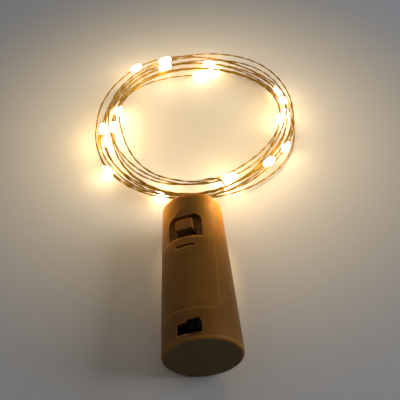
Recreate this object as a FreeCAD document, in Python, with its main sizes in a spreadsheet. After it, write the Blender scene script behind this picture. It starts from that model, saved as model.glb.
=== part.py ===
import FreeCAD
import Part
import Sketcher

# Cork bottle light: a cork-shaped battery case with a coiled string of twenty small lamps.
#
# The case lies on its side on a surface, wide end towards -Y and small end towards +Y, and
# the string is coiled on the same surface behind the small end. The case is drawn in its own
# axes first: Y runs along it from the wide face to the small face, Z points out through the
# battery cover and X is across. One placement then rolls it, tips it onto its side and sets
# the middle of its footprint on the origin. All sizes are in millimetres and degrees.

import math
import os
import re

Vector = FreeCAD.Vector

SIZES = {
    # Battery cells, three button cells of 11.6 by 5.4
    "cell_radius": 5.8,
    "cell_height": 5.4,
    "cell_can": 0.25,
    "cell_rim": 0.35,
    "cell_seal": 0.85,
    "cell_cap_proud": 0.2,
    "cell_slip": 0.15,
    # Case, wide enough for the cells
    "case_over_cell": 2.7,
    "case_taper": 1.5,
    "wide_round": 0.7,
    "small_round": 1.2,
    "case_wall": 1.5,
    "end_wall": 1.8,
    "roll_angle": 18.5,
    "slip": 0.1,
    "overrun": 2.0,
    # Closing disc at the wide end
    "cap_rim": 1.15,
    "cap_thickness": 1.0,
    "cap_gap": 0.05,
    # Bay, its two bulkheads and its saddles
    "chamber_length": 6.0,
    "bulkhead": 1.8,
    "rear_bulkhead": 0.8,
    "cradle_space": 1.2,
    "saddle_thickness": 0.8,
    "saddle_half_width": 3.2,
    # Contacts and the conical spring
    "contact_sheet": 0.3,
    "contact_half_width": 3.0,
    "dimple_radius": 1.5,
    "dimple_height": 0.2,
    "tail_half_width": 1.0,
    "spring_height": 2.2,
    "spring_wire": 0.4,
    "spring_inset": 2.0,
    "spring_narrow_radius": 2.0,
    "spring_turns": 2.5,
    # Battery cover
    "hinge_shelf": 0.6,
    "ledge_width": 0.8,
    "ledge_depth": 0.924,
    "cover_thickness": 1.3,
    "cover_corner": 1.0,
    "cover_gap": 0.12,
    "slit_inset": 2.8,
    "slit_length": 5.3,
    "slit_width": 0.8,
    "tab_half_width": 2.4,
    "tab_reach": 1.0,
    "tab_thickness": 0.9,
    "tab_root": 1.5,
    "press_rib_place": 2.0,
    "press_rib_width": 0.8,
    # Latch on the cover
    "latch_half_width": 2.35,
    "latch_thickness": 1.0,
    "latch_gap": 2.9,
    "bend_depth": 2.3,
    "latch_split": 0.3,
    "thumb_length": 3.3,
    "thumb_thickness": 1.0,
    "nose_reach": 1.0,
    "nose_height": 0.8,
    "nose_slope": 0.45,
    "nose_slip": 0.12,
    # Recess in the case around the latch
    "nail_room": 1.7,
    "thumb_side": 2.35,
    "recess_corner": 2.2,
    "recess_depth": 2.516,
    "strike_thickness": 1.0,
    "strike_gap": 0.55,
    "well_slip": 0.3,
    "scoop_length": 2.2,
    "scoop_depth": 0.45,
    "tail_wall": 0.6,
    "tail_roof": 0.2,
    "tail_chamber": 5.6,
    # Switch, its slot and its board
    "slot_start": 1.5,
    "slot_width": 3.1,
    "slot_length": 6.1,
    "knob_length": 3.0,
    "knob_proud": 1.0,
    "knob_end_gap": 0.15,
    "knob_edge": 0.25,
    "stem_side": 1.6,
    "stem_gap": 0.1,
    "slider_over": 0.2,
    "slider_height": 0.8,
    "frame_over_slot": 1.25,
    "frame_side": 0.3,
    "frame_height": 3.0,
    "frame_sheet": 0.4,
    "switch_base_height": 0.8,
    "pin_pitch": 2.0,
    "pin_width": 0.5,
    "pin_sheet": 0.3,
    "pin_tail": 0.8,
    "pin_head": 0.1,
    "board_thickness": 0.8,
    "board_side": 0.6,
    "board_rest": 0.4,
    "board_rest_reach": 1.6,
    "resistor_length": 1.6,
    "resistor_width": 0.8,
    "resistor_height": 0.5,
    "resistor_place": 3.2,
    # Leads inside the case
    "lead_radius": 0.3,
    "lead_off_cell": 0.503,
    "lead_angle": 41.784,
    "lead_hole_slip": 0.4,
    "lead_bend": 1.6,
    "lead_drop": 2.4,
    "lead_straight": 1.8,
    # Wire exit
    "exit_radius": 1.0,
    "plug_flange_radius": 2.2,
    "plug_flange": 1.0,
    "plug_nozzle_radius": 1.2,
    "plug_proud": 0.6,
    # String of lamps
    "wire_radius": 0.3,
    "coil_turns": 9.5,
    "coil_layers": 4,
    "coil_layer_rise": 1.62,
    "coil_centre_x": 3.7,
    "coil_centre_y": 68.9,
    "coil_radius": 31.8,
    "coil_band": 6.4,
    "coil_start_angle": -100.0,
    "lamp_count": 20,
    "lamp_first": 83.1,
    "bead_radius": 1.25,
    "bead_length": 5.5,
    "chip_length": 1.6,
    "chip_width": 0.9,
    "chip_height": 0.7,
}

# Sizes that follow from those above, so that what holds a piece is worked out from the piece.
FOLLOWING = {
    "cell_cap_radius": "cell_radius - cell_can - cell_seal",
    "small_radius": "cell_radius + case_over_cell",
    "wide_radius": "small_radius + case_taper",
    "cap_radius": "wide_radius - cap_rim",
    "chamber_end": "cap_thickness + chamber_length",
    "bay_start": "chamber_end + bulkhead",
    "cells_start": "bay_start + contact_sheet + dimple_height",
    "bay_end": "cells_start + 3 * cell_height + spring_height + contact_sheet",
    "bay_half_width": "cell_radius + 2 * slip",
    "cradle_radius": "cell_radius + cradle_space",
    "spring_wide_radius": "cell_radius - spring_inset",
    "well_start": "bay_end + rear_bulkhead",
    "cover_start": "bay_start - hinge_shelf",
    "cover_end": "well_start + well_slip + latch_thickness",
    "cover_half_width": "bay_half_width + ledge_width",
    "slit_place": "cover_end - slit_inset",
    "outer_leg": "cover_end + latch_gap",
    "thumb_end": "outer_leg + thumb_length",
    "recess_end": "thumb_end + nail_room",
    "tail_start": "recess_end + tail_wall",
    "case_length": "tail_start + tail_chamber + end_wall",
    "ledge_height": "sqrt((wide_radius - case_taper * cover_end / case_length)^2"
                    " - cover_half_width^2) - ledge_depth",
    "thumb_top": "wide_radius - case_taper * thumb_end / case_length",
    "recess_half_width": "latch_half_width + thumb_side",
    "recess_floor": "thumb_top - recess_depth",
    "strike_under": "recess_floor - strike_thickness",
    "strike_edge": "outer_leg + latch_thickness + strike_gap",
    "nose_tip": "outer_leg + latch_thickness + nose_reach",
    "bend_height": "recess_floor - bend_depth",
    "bend_centre": "cover_end + latch_gap / 2",
    "bend_radius": "latch_gap / 2 + latch_thickness",
    "slot_middle": "slot_start + slot_width / 2",
    "knob_width": "slot_width - slip",
    "knob_place": "slot_length / 2 - knob_end_gap - knob_length / 2",
    "frame_length": "slot_length + 2 * frame_over_slot",
    "frame_width": "slot_width + 2 * frame_side",
    "frame_edge": "slot_middle + frame_width / 2",
    "frame_top": "sqrt((wide_radius - case_taper * frame_edge / case_length - case_wall)^2"
                 " - (frame_length / 2)^2) - slip / 2",
    "slider_length": "knob_length + 2 * slider_over",
    "slider_width": "frame_width - 2 * frame_sheet - 3 * stem_gap",
    "slider_top": "frame_top - frame_sheet - stem_gap",
    "board_top": "frame_top - frame_height",
    "board_under": "board_top - board_thickness",
    "board_start": "cap_thickness + 2 * slip",
    "board_end": "chamber_end - 2 * slip",
    "board_half_width": "sqrt((wide_radius - case_taper * board_end / case_length - case_wall)^2"
                        " - board_top^2) - board_side",
    "board_ledge_in": "board_half_width - board_rest",
    "board_ledge_out": "board_half_width + board_rest_reach",
    "lead_ring": "cell_radius + lead_off_cell",
    "lead_across": "lead_ring * cos(lead_angle)",
    "lead_down": "lead_ring * sin(lead_angle)",
    "lead_hole_radius": "lead_radius + lead_hole_slip",
    "lead_drop_place": "chamber_end - lead_drop",
    "plug_start": "case_length - end_wall - plug_flange",
}

# Waves that bend the coil's middle line and swell its band, as the photograph shows them.
# Each row is the wave's number round the loop, its cosine share and its sine share.
MIDDLE_WAVE_SHARES = ((1, 0.019, -0.041), (2, -0.019, 0.041), (3, 0.016, 0.006))
BAND_WAVE_SHARES = ((1, -0.156, 0.141), (2, -0.031, -0.109), (3, -0.031, -0.219))

# The hand-laid middle of the wire's route from the bush to the coil, in millimetres. The run
# out of the bush and the run into the coil are added to it where the wire is swept.
LEAD_POINTS = ((6.4, 28.0, 8.4), (10.6, 31.0, 8.7), (10.0, 34.0, 9.0), (7.4, 35.7, 8.7), (4.4, 36.2, 7.3))

# The lamps are fixed by hand, so each sits a little off its even place along the wire, in
# millimetres. The last one closes the wire's end.
LAMP_SHIFTS = {1: -8.0, 2: -5.3, 3: -1.8, 4: -7.1, 5: 8.0, 6: 7.7, 7: -3.5, 8: -2.6, 9: 4.2, 10: 4.5,
               11: 8.0, 12: -1.7, 13: -2.6, 14: -0.5, 15: 5.8, 16: -8.0, 17: 8.0, 18: 8.0, 19: -8.0}

# Arcs take this share of the shorter run beside a corner of a wire's route.
ARC_SHARE = 0.45
# A layer of the coil is climbed over this many turns.
CLIMB_TURNS = 0.5
# Biarcs are drawn through this many places in each turn.
PLACES_PER_TURN = 4
# Quantities below these count as zero.
NEAR = 1e-3
TINY = 1e-9
FUNCTIONS = ("sqrt", "sin", "cos")

doc = FreeCAD.newDocument("cork_bottle_light")
sheet = doc.addObject("Spreadsheet::Sheet", "Sizes")
for row, (alias, size) in enumerate(SIZES.items(), start=1):
    sheet.set("A%d" % row, alias)
    sheet.set("B%d" % row, str(size))
    sheet.setAlias("B%d" % row, alias)
doc.recompute()


def spelled_out(text):
    """Replace every following size in an expression by what it follows from."""
    def replaced(match):
        word = match.group()
        return "(%s)" % spelled_out(FOLLOWING[word]) if word in FOLLOWING else word
    return re.sub(r"[a-z][a-z_]*", replaced, text)


def bound(text):
    """Return the expression with every size written as a cell of the sheet."""
    def cell(match):
        word = match.group()
        return word if word in FUNCTIONS else "Sizes." + word
    return re.sub(r"[a-z][a-z_]*", cell, spelled_out(text))


def size(text):
    """Return the number that an expression in the sheet's sizes has now."""
    number = sheet.evalExpression(spelled_out(text))
    return float(getattr(number, "Value", number))


def bind(item, **expressions):
    """Tie properties of an object to expressions; a double underscore is a dot."""
    for key, text in expressions.items():
        item.setExpression(key.replace("__", "."), bound(text))


def place(item, x, y, z):
    """Tie the base of an object's placement to three expressions."""
    bind(item, Placement__Base__x=x, Placement__Base__y=y, Placement__Base__z=z)
    return item


def block(name, x, y, z):
    """Make a box between pairs of expressions along X, Y and Z."""
    item = doc.addObject("Part::Box", name)
    bind(item, Length="(%s) - (%s)" % (x[1], x[0]))
    bind(item, Width="(%s) - (%s)" % (y[1], y[0]))
    bind(item, Height="(%s) - (%s)" % (z[1], z[0]))
    return place(item, x[0], y[0], z[0])


def rod_x(name, radius, half_length, y, z):
    """Make a cylinder along X, centred on the middle plane."""
    item = doc.addObject("Part::Cylinder", name)
    bind(item, Radius=radius, Height="2 * (%s)" % half_length)
    item.Placement = FreeCAD.Placement(Vector(), FreeCAD.Rotation(Vector(0, 1, 0), 90))
    return place(item, "-(%s)" % half_length, y, z)


def rod_y(name, radius, start, end):
    """Make a cylinder along the case's axis from one place to another."""
    item = doc.addObject("Part::Cylinder", name)
    bind(item, Radius=radius, Height="(%s) - (%s)" % (end, start))
    item.Placement = FreeCAD.Placement(Vector(), FreeCAD.Rotation(Vector(1, 0, 0), -90))
    return place(item, "0", start, "0")


def taper_y(name, inset):
    """Make the case's cone along Y, smaller all round by an inset."""
    item = doc.addObject("Part::Cone", name)
    bind(item, Radius1="wide_radius - (%s)" % inset, Radius2="small_radius - (%s)" % inset)
    bind(item, Height="case_length")
    item.Placement = FreeCAD.Placement(Vector(), FreeCAD.Rotation(Vector(1, 0, 0), -90))
    return item


def cut(name, base, tool):
    item = doc.addObject("Part::Cut", name)
    item.Base = base
    item.Tool = tool
    return item


def fuse(name, *items):
    item = doc.addObject("Part::MultiFuse", name)
    item.Shapes = list(items)
    item.Refine = True
    return item


def common(name, first, second):
    item = doc.addObject("Part::Common", name)
    item.Base = first
    item.Tool = second
    return item


def fillet(name, base, radius, chosen):
    """Round the edges of a Part object whose middle point passes a test."""
    doc.recompute()
    item = doc.addObject("Part::Fillet", name)
    item.Base = base
    picked = []
    for number, edge in enumerate(base.Shape.Edges, start=1):
        middle = edge.valueAt((edge.FirstParameter + edge.LastParameter) / 2)
        if chosen(edge, middle):
            picked.append((number, size(radius), size(radius)))
    item.Edges = picked
    return item


def surface_height(y):
    """Expression for the case's radius at a place along it."""
    return "(wide_radius - case_taper * (%s) / case_length)" % y


# Placement of the case: rolled about its axis, tipped so that both ends touch the surface.
TIP = math.atan((size("wide_radius") - size("small_radius")) / size("case_length"))
MIDDLE = (size("case_length + plug_proud") * math.cos(TIP)
          - size("wide_radius") * math.sin(TIP)) / 2
CASE_PLACEMENT = FreeCAD.Placement(
    Vector(0, -MIDDLE, size("wide_radius") * math.cos(TIP)),
    FreeCAD.Rotation(Vector(1, 0, 0), -math.degrees(TIP))
    * FreeCAD.Rotation(Vector(0, 1, 0), -size("roll_angle")))

PIECES = []


def finish(item, name, placement=CASE_PLACEMENT):
    """Name a finished sub-part and put it where it belongs."""
    item.Label = name
    item.Placement = placement * item.Placement
    PIECES.append(item)
    return item


class BodyMaker:
    """A PartDesign body with sketches whose corners are tied to the sheet."""

    def __init__(self, name):
        self.body = doc.addObject("PartDesign::Body", name)
        self.count = 0

    def sketch(self, role, offset="0"):
        """Start a sketch on an origin plane, moved along the plane's normal."""
        self.count += 1
        name = "%s_sketch_%d" % (self.body.Name, self.count)
        item = self.body.newObject("Sketcher::SketchObject", name)
        plane = next(f for f in self.body.Origin.OriginFeatures if f.Role == role)
        item.AttachmentSupport = [(plane, "")]
        item.MapMode = "FlatFace"
        bind(item, AttachmentOffset__Base__z=offset)
        return item

    def polygon(self, item, corners):
        """Draw a closed polygon; each corner is a pair of expressions."""
        points = [Vector(size(a), size(b), 0) for a, b in corners]
        first = item.GeometryCount
        for start, end in zip(points, points[1:] + points[:1]):
            item.addGeometry(Part.LineSegment(start, end), False)
        for index, corner in enumerate(corners):
            following = first + (index + 1) % len(corners)
            item.addConstraint(Sketcher.Constraint("Coincident", first + index, 2, following, 1))
            for kind, axis, text in (("DistanceX", -2, corner[0]), ("DistanceY", -1, corner[1])):
                if text == "0":
                    item.addConstraint(Sketcher.Constraint("PointOnObject", first + index, 1, axis))
                    continue
                number = item.addConstraint(
                    Sketcher.Constraint(kind, -1, 1, first + index, 1, size(text)))
                item.setExpression("Constraints[%d]" % number, bound(text))
        return item

    def circle(self, item, radius, x, y):
        """Draw a circle about a centre given by two expressions."""
        number = item.addGeometry(
            Part.Circle(Vector(size(x), size(y), 0), Vector(0, 0, 1), size(radius)), False)
        for kind, text in (("DistanceX", x), ("DistanceY", y)):
            index = item.addConstraint(Sketcher.Constraint(kind, -1, 1, number, 3, size(text)))
            item.setExpression("Constraints[%d]" % index, bound(text))
        index = item.addConstraint(Sketcher.Constraint("Radius", number, size(radius)))
        item.setExpression("Constraints[%d]" % index, bound(radius))
        return item

    def feature(self, kind, name, profile, length=None, reversed_way=False, midplane=False):
        """Add a pad or a pocket of a sketch."""
        item = self.body.newObject("PartDesign::" + kind, name)
        item.Profile = profile
        item.Reversed = reversed_way
        if midplane:
            item.SideType = "Symmetric"
        if length is not None:
            bind(item, Length=length)
        profile.Visibility = False
        doc.recompute()
        return item

    def round_edges(self, name, radius, chosen):
        """Round the edges of the body so far whose middle point passes a test."""
        tip = self.body.Tip
        names = []
        for number, edge in enumerate(tip.Shape.Edges, start=1):
            middle = edge.valueAt((edge.FirstParameter + edge.LastParameter) / 2)
            if chosen(edge, middle):
                names.append("Edge%d" % number)
        item = self.body.newObject("PartDesign::Fillet", name)
        item.Base = (tip, names)
        bind(item, Radius=radius)
        doc.recompute()
        return item

    def revolve(self, name, profile):
        """Turn a sketch on the YZ plane about the case's axis."""
        item = self.body.newObject("PartDesign::Revolution", name)
        item.Profile = profile
        item.ReferenceAxis = (profile, ["H_Axis"])
        profile.Visibility = False
        doc.recompute()
        return item


def rectangle(x, y):
    """Corners of a rectangle between pairs of expressions."""
    return [(x[0], y[0]), (x[1], y[0]), (x[1], y[1]), (x[0], y[1])]


def mirrored(half):
    """A pair of expressions that lie alike on both sides of the middle plane."""
    return ("-(%s)" % half, half)


# Places that several pieces share, each worked out from the sizes.
HINGE_HEIGHT = surface_height("cover_start")
TAB_TOP = "(sqrt((%s - case_wall)^2 - tab_half_width^2) - slip)" % HINGE_HEIGHT
TAB_BOTTOM = "(%s - tab_thickness)" % TAB_TOP
TAB_SWEEP = "(%s - sqrt((%s - %s)^2 + tab_reach^2) - 2 * slip)" % (HINGE_HEIGHT, HINGE_HEIGHT, TAB_BOTTOM)
ABOVE = "(wide_radius + overrun)"


def make_housing():
    """One moulding: tapered shell, bulkheads, battery bay, latch well and switch slot."""
    maker = BodyMaker("housing")
    wall = "%s - case_wall"
    seat = "cap_radius + cap_gap"
    profile = maker.polygon(maker.sketch("YZ_Plane"), [
        ("0", seat), ("0", "wide_radius"),
        ("case_length", "small_radius"), ("case_length", "exit_radius"),
        ("case_length - end_wall", "exit_radius"),
        ("case_length - end_wall", wall % surface_height("(case_length - end_wall)")),
        ("tail_start", wall % surface_height("tail_start")), ("tail_start", "0"),
        ("chamber_end", "0"), ("chamber_end", wall % surface_height("chamber_end")),
        ("cap_thickness", wall % surface_height("cap_thickness")), ("cap_thickness", seat)])
    maker.revolve("tapered_shell", profile)

    def rim(place, radius):
        return lambda edge, middle: (abs(middle.y - size(place)) < NEAR
                                     and abs(math.hypot(middle.x, middle.z) - size(radius)) < NEAR)
    maker.round_edges("wide_rim", "wide_round", rim("0", "wide_radius"))
    maker.round_edges("small_rim", "small_round", rim("case_length", "small_radius"))

    bay_length = "bay_end - bay_start"
    bore = maker.circle(maker.sketch("XZ_Plane", "-bay_start"), "cradle_radius", "0", "0")
    maker.feature("Pocket", "battery_bay", bore, bay_length)
    mouth = maker.polygon(maker.sketch("XZ_Plane", "-bay_start"),
                          rectangle(mirrored("bay_half_width"), ("0", "ledge_height + overrun")))
    maker.feature("Pocket", "bay_mouth", mouth, bay_length)

    # Three saddles across the bottom of the bay, one under the middle of each cell
    saddle_sketch = maker.polygon(
        maker.sketch("XZ_Plane", "-(bay_start + contact_sheet + cell_height / 2)"),
        rectangle(mirrored("saddle_half_width"), ("-(cradle_radius + case_wall / 2)", "-cell_radius / 2")))
    saddle = maker.feature("Pad", "saddle", saddle_sketch, "saddle_thickness", reversed_way=True)
    pattern = maker.body.newObject("PartDesign::LinearPattern", "saddles")
    pattern.Originals = [saddle]
    pattern.Direction = (next(f for f in maker.body.Origin.OriginFeatures if f.Role == "Y_Axis"), [""])
    bind(pattern, Length="2 * cell_height")
    pattern.Occurrences = 3
    maker.body.Tip = pattern
    doc.recompute()
    cradle = maker.circle(maker.sketch("XZ_Plane", "-bay_start"), "cell_radius + cell_slip", "0", "0")
    maker.feature("Pocket", "cell_cradle", cradle, bay_length)

    opening = maker.polygon(
        maker.sketch("XY_Plane", "ledge_height"),
        rectangle(mirrored("(cover_half_width + cover_gap)"),
                  ("cover_start - cover_gap", "cover_end + cover_gap")))
    maker.feature("Pocket", "cover_opening", opening, "wide_radius", reversed_way=True)

    def upright(across, along):
        return lambda edge, middle: (abs(abs(middle.x) - size(across)) < NEAR
                                     and abs(middle.y - size(along)) < NEAR)
    maker.round_edges("opening_corners", "cover_corner + cover_gap",
                      upright("cover_half_width + cover_gap", "cover_end + cover_gap"))
    tab_slot = maker.polygon(
        maker.sketch("XZ_Plane", "-chamber_end"),
        rectangle(mirrored("(tab_half_width + 2 * slip)"), (TAB_SWEEP, "%s + slip" % TAB_TOP)))
    maker.feature("Pocket", "tab_slot", tab_slot, "bulkhead")

    recess = maker.polygon(maker.sketch("XY_Plane", "recess_floor"),
                           rectangle(mirrored("recess_half_width"), ("cover_end", "recess_end")))
    maker.feature("Pocket", "latch_recess", recess, "wide_radius", reversed_way=True)
    maker.round_edges("recess_corners", "recess_corner", upright("recess_half_width", "recess_end"))
    scoop = maker.polygon(maker.sketch("YZ_Plane"), [
        ("recess_end - overrun", "%s - scoop_depth" % surface_height("recess_end")),
        ("recess_end", "%s - scoop_depth" % surface_height("recess_end")),
        ("recess_end + scoop_length", surface_height("(recess_end + scoop_length)")),
        ("recess_end + scoop_length", ABOVE), ("recess_end - overrun", ABOVE)])
    maker.feature("Pocket", "thumb_scoop", scoop, "2 * (recess_half_width - recess_corner)", midplane=True)
    well_floor = "bend_height - bend_radius - well_slip"
    well = maker.polygon(maker.sketch("YZ_Plane"), [
        ("well_start", well_floor), ("nose_tip + strike_gap", well_floor),
        ("nose_tip + strike_gap", "strike_under"), ("strike_edge", "strike_under"),
        ("strike_edge", "recess_floor + overrun"), ("well_start", "recess_floor + overrun")])
    maker.feature("Pocket", "latch_well", well, "2 * (latch_half_width + well_slip)", midplane=True)

    tail = maker.circle(maker.sketch("XZ_Plane", "-well_start"), "(cradle_radius + tail_roof) / 2",
                        "0", "(tail_roof - cradle_radius) / 2")
    maker.feature("Pocket", "tail_passage", tail, "tail_start - well_start")
    holes = maker.sketch("XZ_Plane", "-chamber_end")
    for side in ("", "-"):
        maker.circle(holes, "lead_hole_radius", side + "lead_across", "-lead_down")
    maker.feature("Pocket", "lead_holes", holes, "tail_start - chamber_end")
    tail_slot = maker.polygon(
        maker.sketch("XZ_Plane", "-chamber_end"),
        rectangle(mirrored("(tail_half_width + slip)"),
                  ("board_top - slip", "board_top + contact_sheet + slip")))
    maker.feature("Pocket", "contact_slot", tail_slot, "bulkhead")

    slot = maker.polygon(maker.sketch("XY_Plane", "frame_top"),
                         rectangle(mirrored("slot_length / 2"), ("slot_start", "slot_start + slot_width")))
    maker.feature("Pocket", "switch_slot", slot, "wide_radius", reversed_way=True)
    for name, side in (("right_board_ledge", ""), ("left_board_ledge", "-")):
        ledge = maker.polygon(
            maker.sketch("XZ_Plane", "-chamber_end"),
            rectangle((side + "board_ledge_in", side + "board_ledge_out"),
                      ("board_under - board_thickness", "board_under")))
        maker.feature("Pad", name, ledge, "chamber_end - board_start")
    return finish(maker.body, "housing")


def make_end_cap():
    """Disc that closes the wide end, flush with the rim."""
    maker = BodyMaker("end_cap")
    profile = maker.polygon(maker.sketch("YZ_Plane"), rectangle(("0", "cap_thickness"), ("0", "cap_radius")))
    maker.revolve("disc", profile)
    return finish(maker.body, "end_cap")


def make_battery_cover():
    """Curved lid with its hinge tab, its nail slit, two ribs over the cells and the fixed latch leg."""
    blank = block("cover_blank", mirrored("cover_half_width"), ("cover_start", "cover_end"),
                  ("ledge_height + slip", ABOVE))

    def far_corner(edge, middle):
        return (abs(middle.y - size("cover_end")) < NEAR
                and abs(abs(middle.x) - size("cover_half_width")) < NEAR)
    rounded = fillet("cover_corners", blank, "cover_corner", far_corner)
    skin = cut("cover_skin", taper_y("cover_outside", "0"), taper_y("cover_inside", "cover_thickness"))
    swing = rod_x("cover_swing", "cover_end - cover_start", ABOVE, "cover_start", HINGE_HEIGHT)
    lid = common("cover_lid", common("cover_curve", skin, rounded), swing)
    slit = block("nail_slit", mirrored("slit_length / 2"),
                 ("slit_place - slit_width / 2", "slit_place + slit_width / 2"), ("ledge_height", ABOVE))
    slotted = cut("cover_slotted", lid, slit)

    shell_height = "%s - cover_thickness / 2" % HINGE_HEIGHT
    root = block("tab_root_block", mirrored("tab_half_width"), ("cover_start", "cover_start + tab_root"),
                 (TAB_BOTTOM, "sqrt((%s)^2 - tab_half_width^2)" % shell_height))
    tab = block("hinge_tab", mirrored("tab_half_width"),
                ("cover_start - tab_reach", "cover_start + tab_root"), (TAB_BOTTOM, TAB_TOP))
    ribs = [block("press_rib_%d" % number,
                  ("%s - press_rib_width / 2" % middle, "%s + press_rib_width / 2" % middle),
                  ("cover_start + tab_root", "slit_place - spring_height"),
                  ("cell_radius + 2 * cell_slip", "small_radius - cover_thickness / 2"))
            for number, middle in enumerate(("-press_rib_place", "press_rib_place"), start=1)]
    inner_leg = block("inner_leg", mirrored("latch_half_width"),
                      ("cover_end - latch_thickness", "cover_end"),
                      ("bend_height", "%s - cover_thickness / 2" % surface_height("cover_end")))
    bend = common("inner_bend", make_bend("inner"),
                  block("inner_half", mirrored("recess_half_width"),
                        ("bend_centre - bend_radius", "bend_centre - latch_split / 2"),
                        ("bend_height - bend_radius", "bend_height")))
    return finish(fuse("battery_cover", slotted, root, tab, inner_leg, bend, *ribs), "battery_cover")


def make_bend(which):
    """Ring that one half of the latch's round bend is taken from."""
    outside = rod_x(which + "_bend_outside", "bend_radius", "latch_half_width", "bend_centre",
                    "bend_height")
    inside = rod_x(which + "_bend_inside", "latch_gap / 2", "recess_half_width", "bend_centre",
                   "bend_height")
    return cut(which + "_bend_ring", outside, inside)


def make_cover_latch():
    """Springy outer leg of the latch with the thumb pad and the nose under the strike."""
    bend = common("outer_bend", make_bend("outer"),
                  block("outer_half", mirrored("recess_half_width"),
                        ("bend_centre + latch_split / 2", "bend_centre + bend_radius"),
                        ("bend_height - bend_radius", "bend_height")))
    leg = block("outer_leg", mirrored("latch_half_width"), ("outer_leg", "outer_leg + latch_thickness"),
                ("bend_height", "thumb_top - thumb_thickness / 2"))
    thumb = block("thumb_pad", mirrored("latch_half_width"), ("outer_leg", "outer_leg + thumb_length"),
                  ("thumb_top - thumb_thickness", "thumb_top"))
    maker = BodyMaker("catch_nose")
    root = "(outer_leg + latch_thickness)"
    nose_top = "(strike_under - nose_slip)"
    nose = maker.polygon(maker.sketch("YZ_Plane"), [
        ("%s - nose_slip" % root, nose_top), (root, nose_top), ("nose_tip", "%s - nose_slope" % nose_top),
        ("nose_tip", "%s - nose_height" % nose_top), (root, "%s - nose_height - nose_slope" % nose_top),
        ("%s - nose_slip" % root, "%s - nose_height - nose_slope" % nose_top)])
    maker.feature("Pad", "nose_pad", nose, "2 * latch_half_width", midplane=True)
    return finish(fuse("cover_latch", bend, leg, thumb, maker.body), "cover_latch")


def make_cells():
    """Three button cells in a row, each a can, a seal and a cap."""
    for number in (1, 2, 3):
        start = "(cells_start + %d * cell_height)" % (number - 1)
        end = "(%s + cell_height)" % start
        shoulder = "(%s - cell_cap_proud)" % end
        for piece, corners in (
                ("can", [(start, "0"), (start, "cell_radius"), (shoulder, "cell_radius"),
                         (shoulder, "cell_cap_radius + cell_rim"),
                         ("%s - cell_can" % shoulder, "cell_cap_radius + cell_rim"),
                         ("%s - cell_can" % shoulder, "cell_radius - cell_can"),
                         ("%s + cell_can" % start, "cell_radius - cell_can"),
                         ("%s + cell_can" % start, "0")]),
                ("seal", [("%s + 2 * cell_can" % start, "cell_cap_radius"),
                          ("%s + 2 * cell_can" % start, "cell_radius - cell_can"),
                          ("%s - cell_can" % shoulder, "cell_radius - cell_can"),
                          ("%s - cell_can" % shoulder, "cell_cap_radius + cell_rim"),
                          (shoulder, "cell_cap_radius + cell_rim"), (shoulder, "cell_cap_radius")]),
                ("cap", [(end, "0"), (end, "cell_cap_radius"),
                         ("%s + 2 * cell_can" % start, "cell_cap_radius"),
                         ("%s + 2 * cell_can" % start, "cell_cap_radius - cell_can"),
                         ("%s - cell_can" % end, "cell_cap_radius - cell_can"),
                         ("%s - cell_can" % end, "0")])):
            name = "cell_%d_%s" % (number, piece)
            maker = BodyMaker(name)
            profile = maker.polygon(maker.sketch("YZ_Plane"), corners)
            maker.revolve(name + "_turn", profile)
            finish(maker.body, name)


def make_contacts():
    """Sheet contacts at the two ends of the bay."""
    front = ("bay_start", "bay_start + contact_sheet")
    plate = block("front_plate", mirrored("contact_half_width"), front,
                  ("-contact_half_width", "board_top + contact_sheet"))
    dimple = rod_y("front_dimple", "dimple_radius", "bay_start", "bay_start + contact_sheet + dimple_height")
    strip = block("front_strip", mirrored("tail_half_width"), ("slot_start + frame_width + slip", front[1]),
                  ("board_top", "board_top + contact_sheet"))
    finish(fuse("positive_contact", plate, dimple, strip), "positive_contact")
    back = ("bay_end - contact_sheet", "bay_end")
    plate = block("back_plate", mirrored("spring_wide_radius"), back,
                  ("-(lead_down + 2 * lead_radius)", "spring_wide_radius"))
    lug = block("back_lug",
                ("-(lead_across + lead_radius)", "-(spring_wide_radius - 2 * contact_sheet)"), back,
                ("-(lead_down + lead_radius)", "-(lead_down - 2 * lead_radius)"))
    finish(fuse("negative_contact", plate, lug), "negative_contact")


def make_pad(name, x, y, z):
    """Rectangular block in a body of its own."""
    maker = BodyMaker(name)
    face = maker.polygon(maker.sketch("XY_Plane", z[0]), rectangle(x, y))
    maker.feature("Pad", name + "_pad", face, "(%s) - (%s)" % (z[1], z[0]))
    return maker.body


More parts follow.
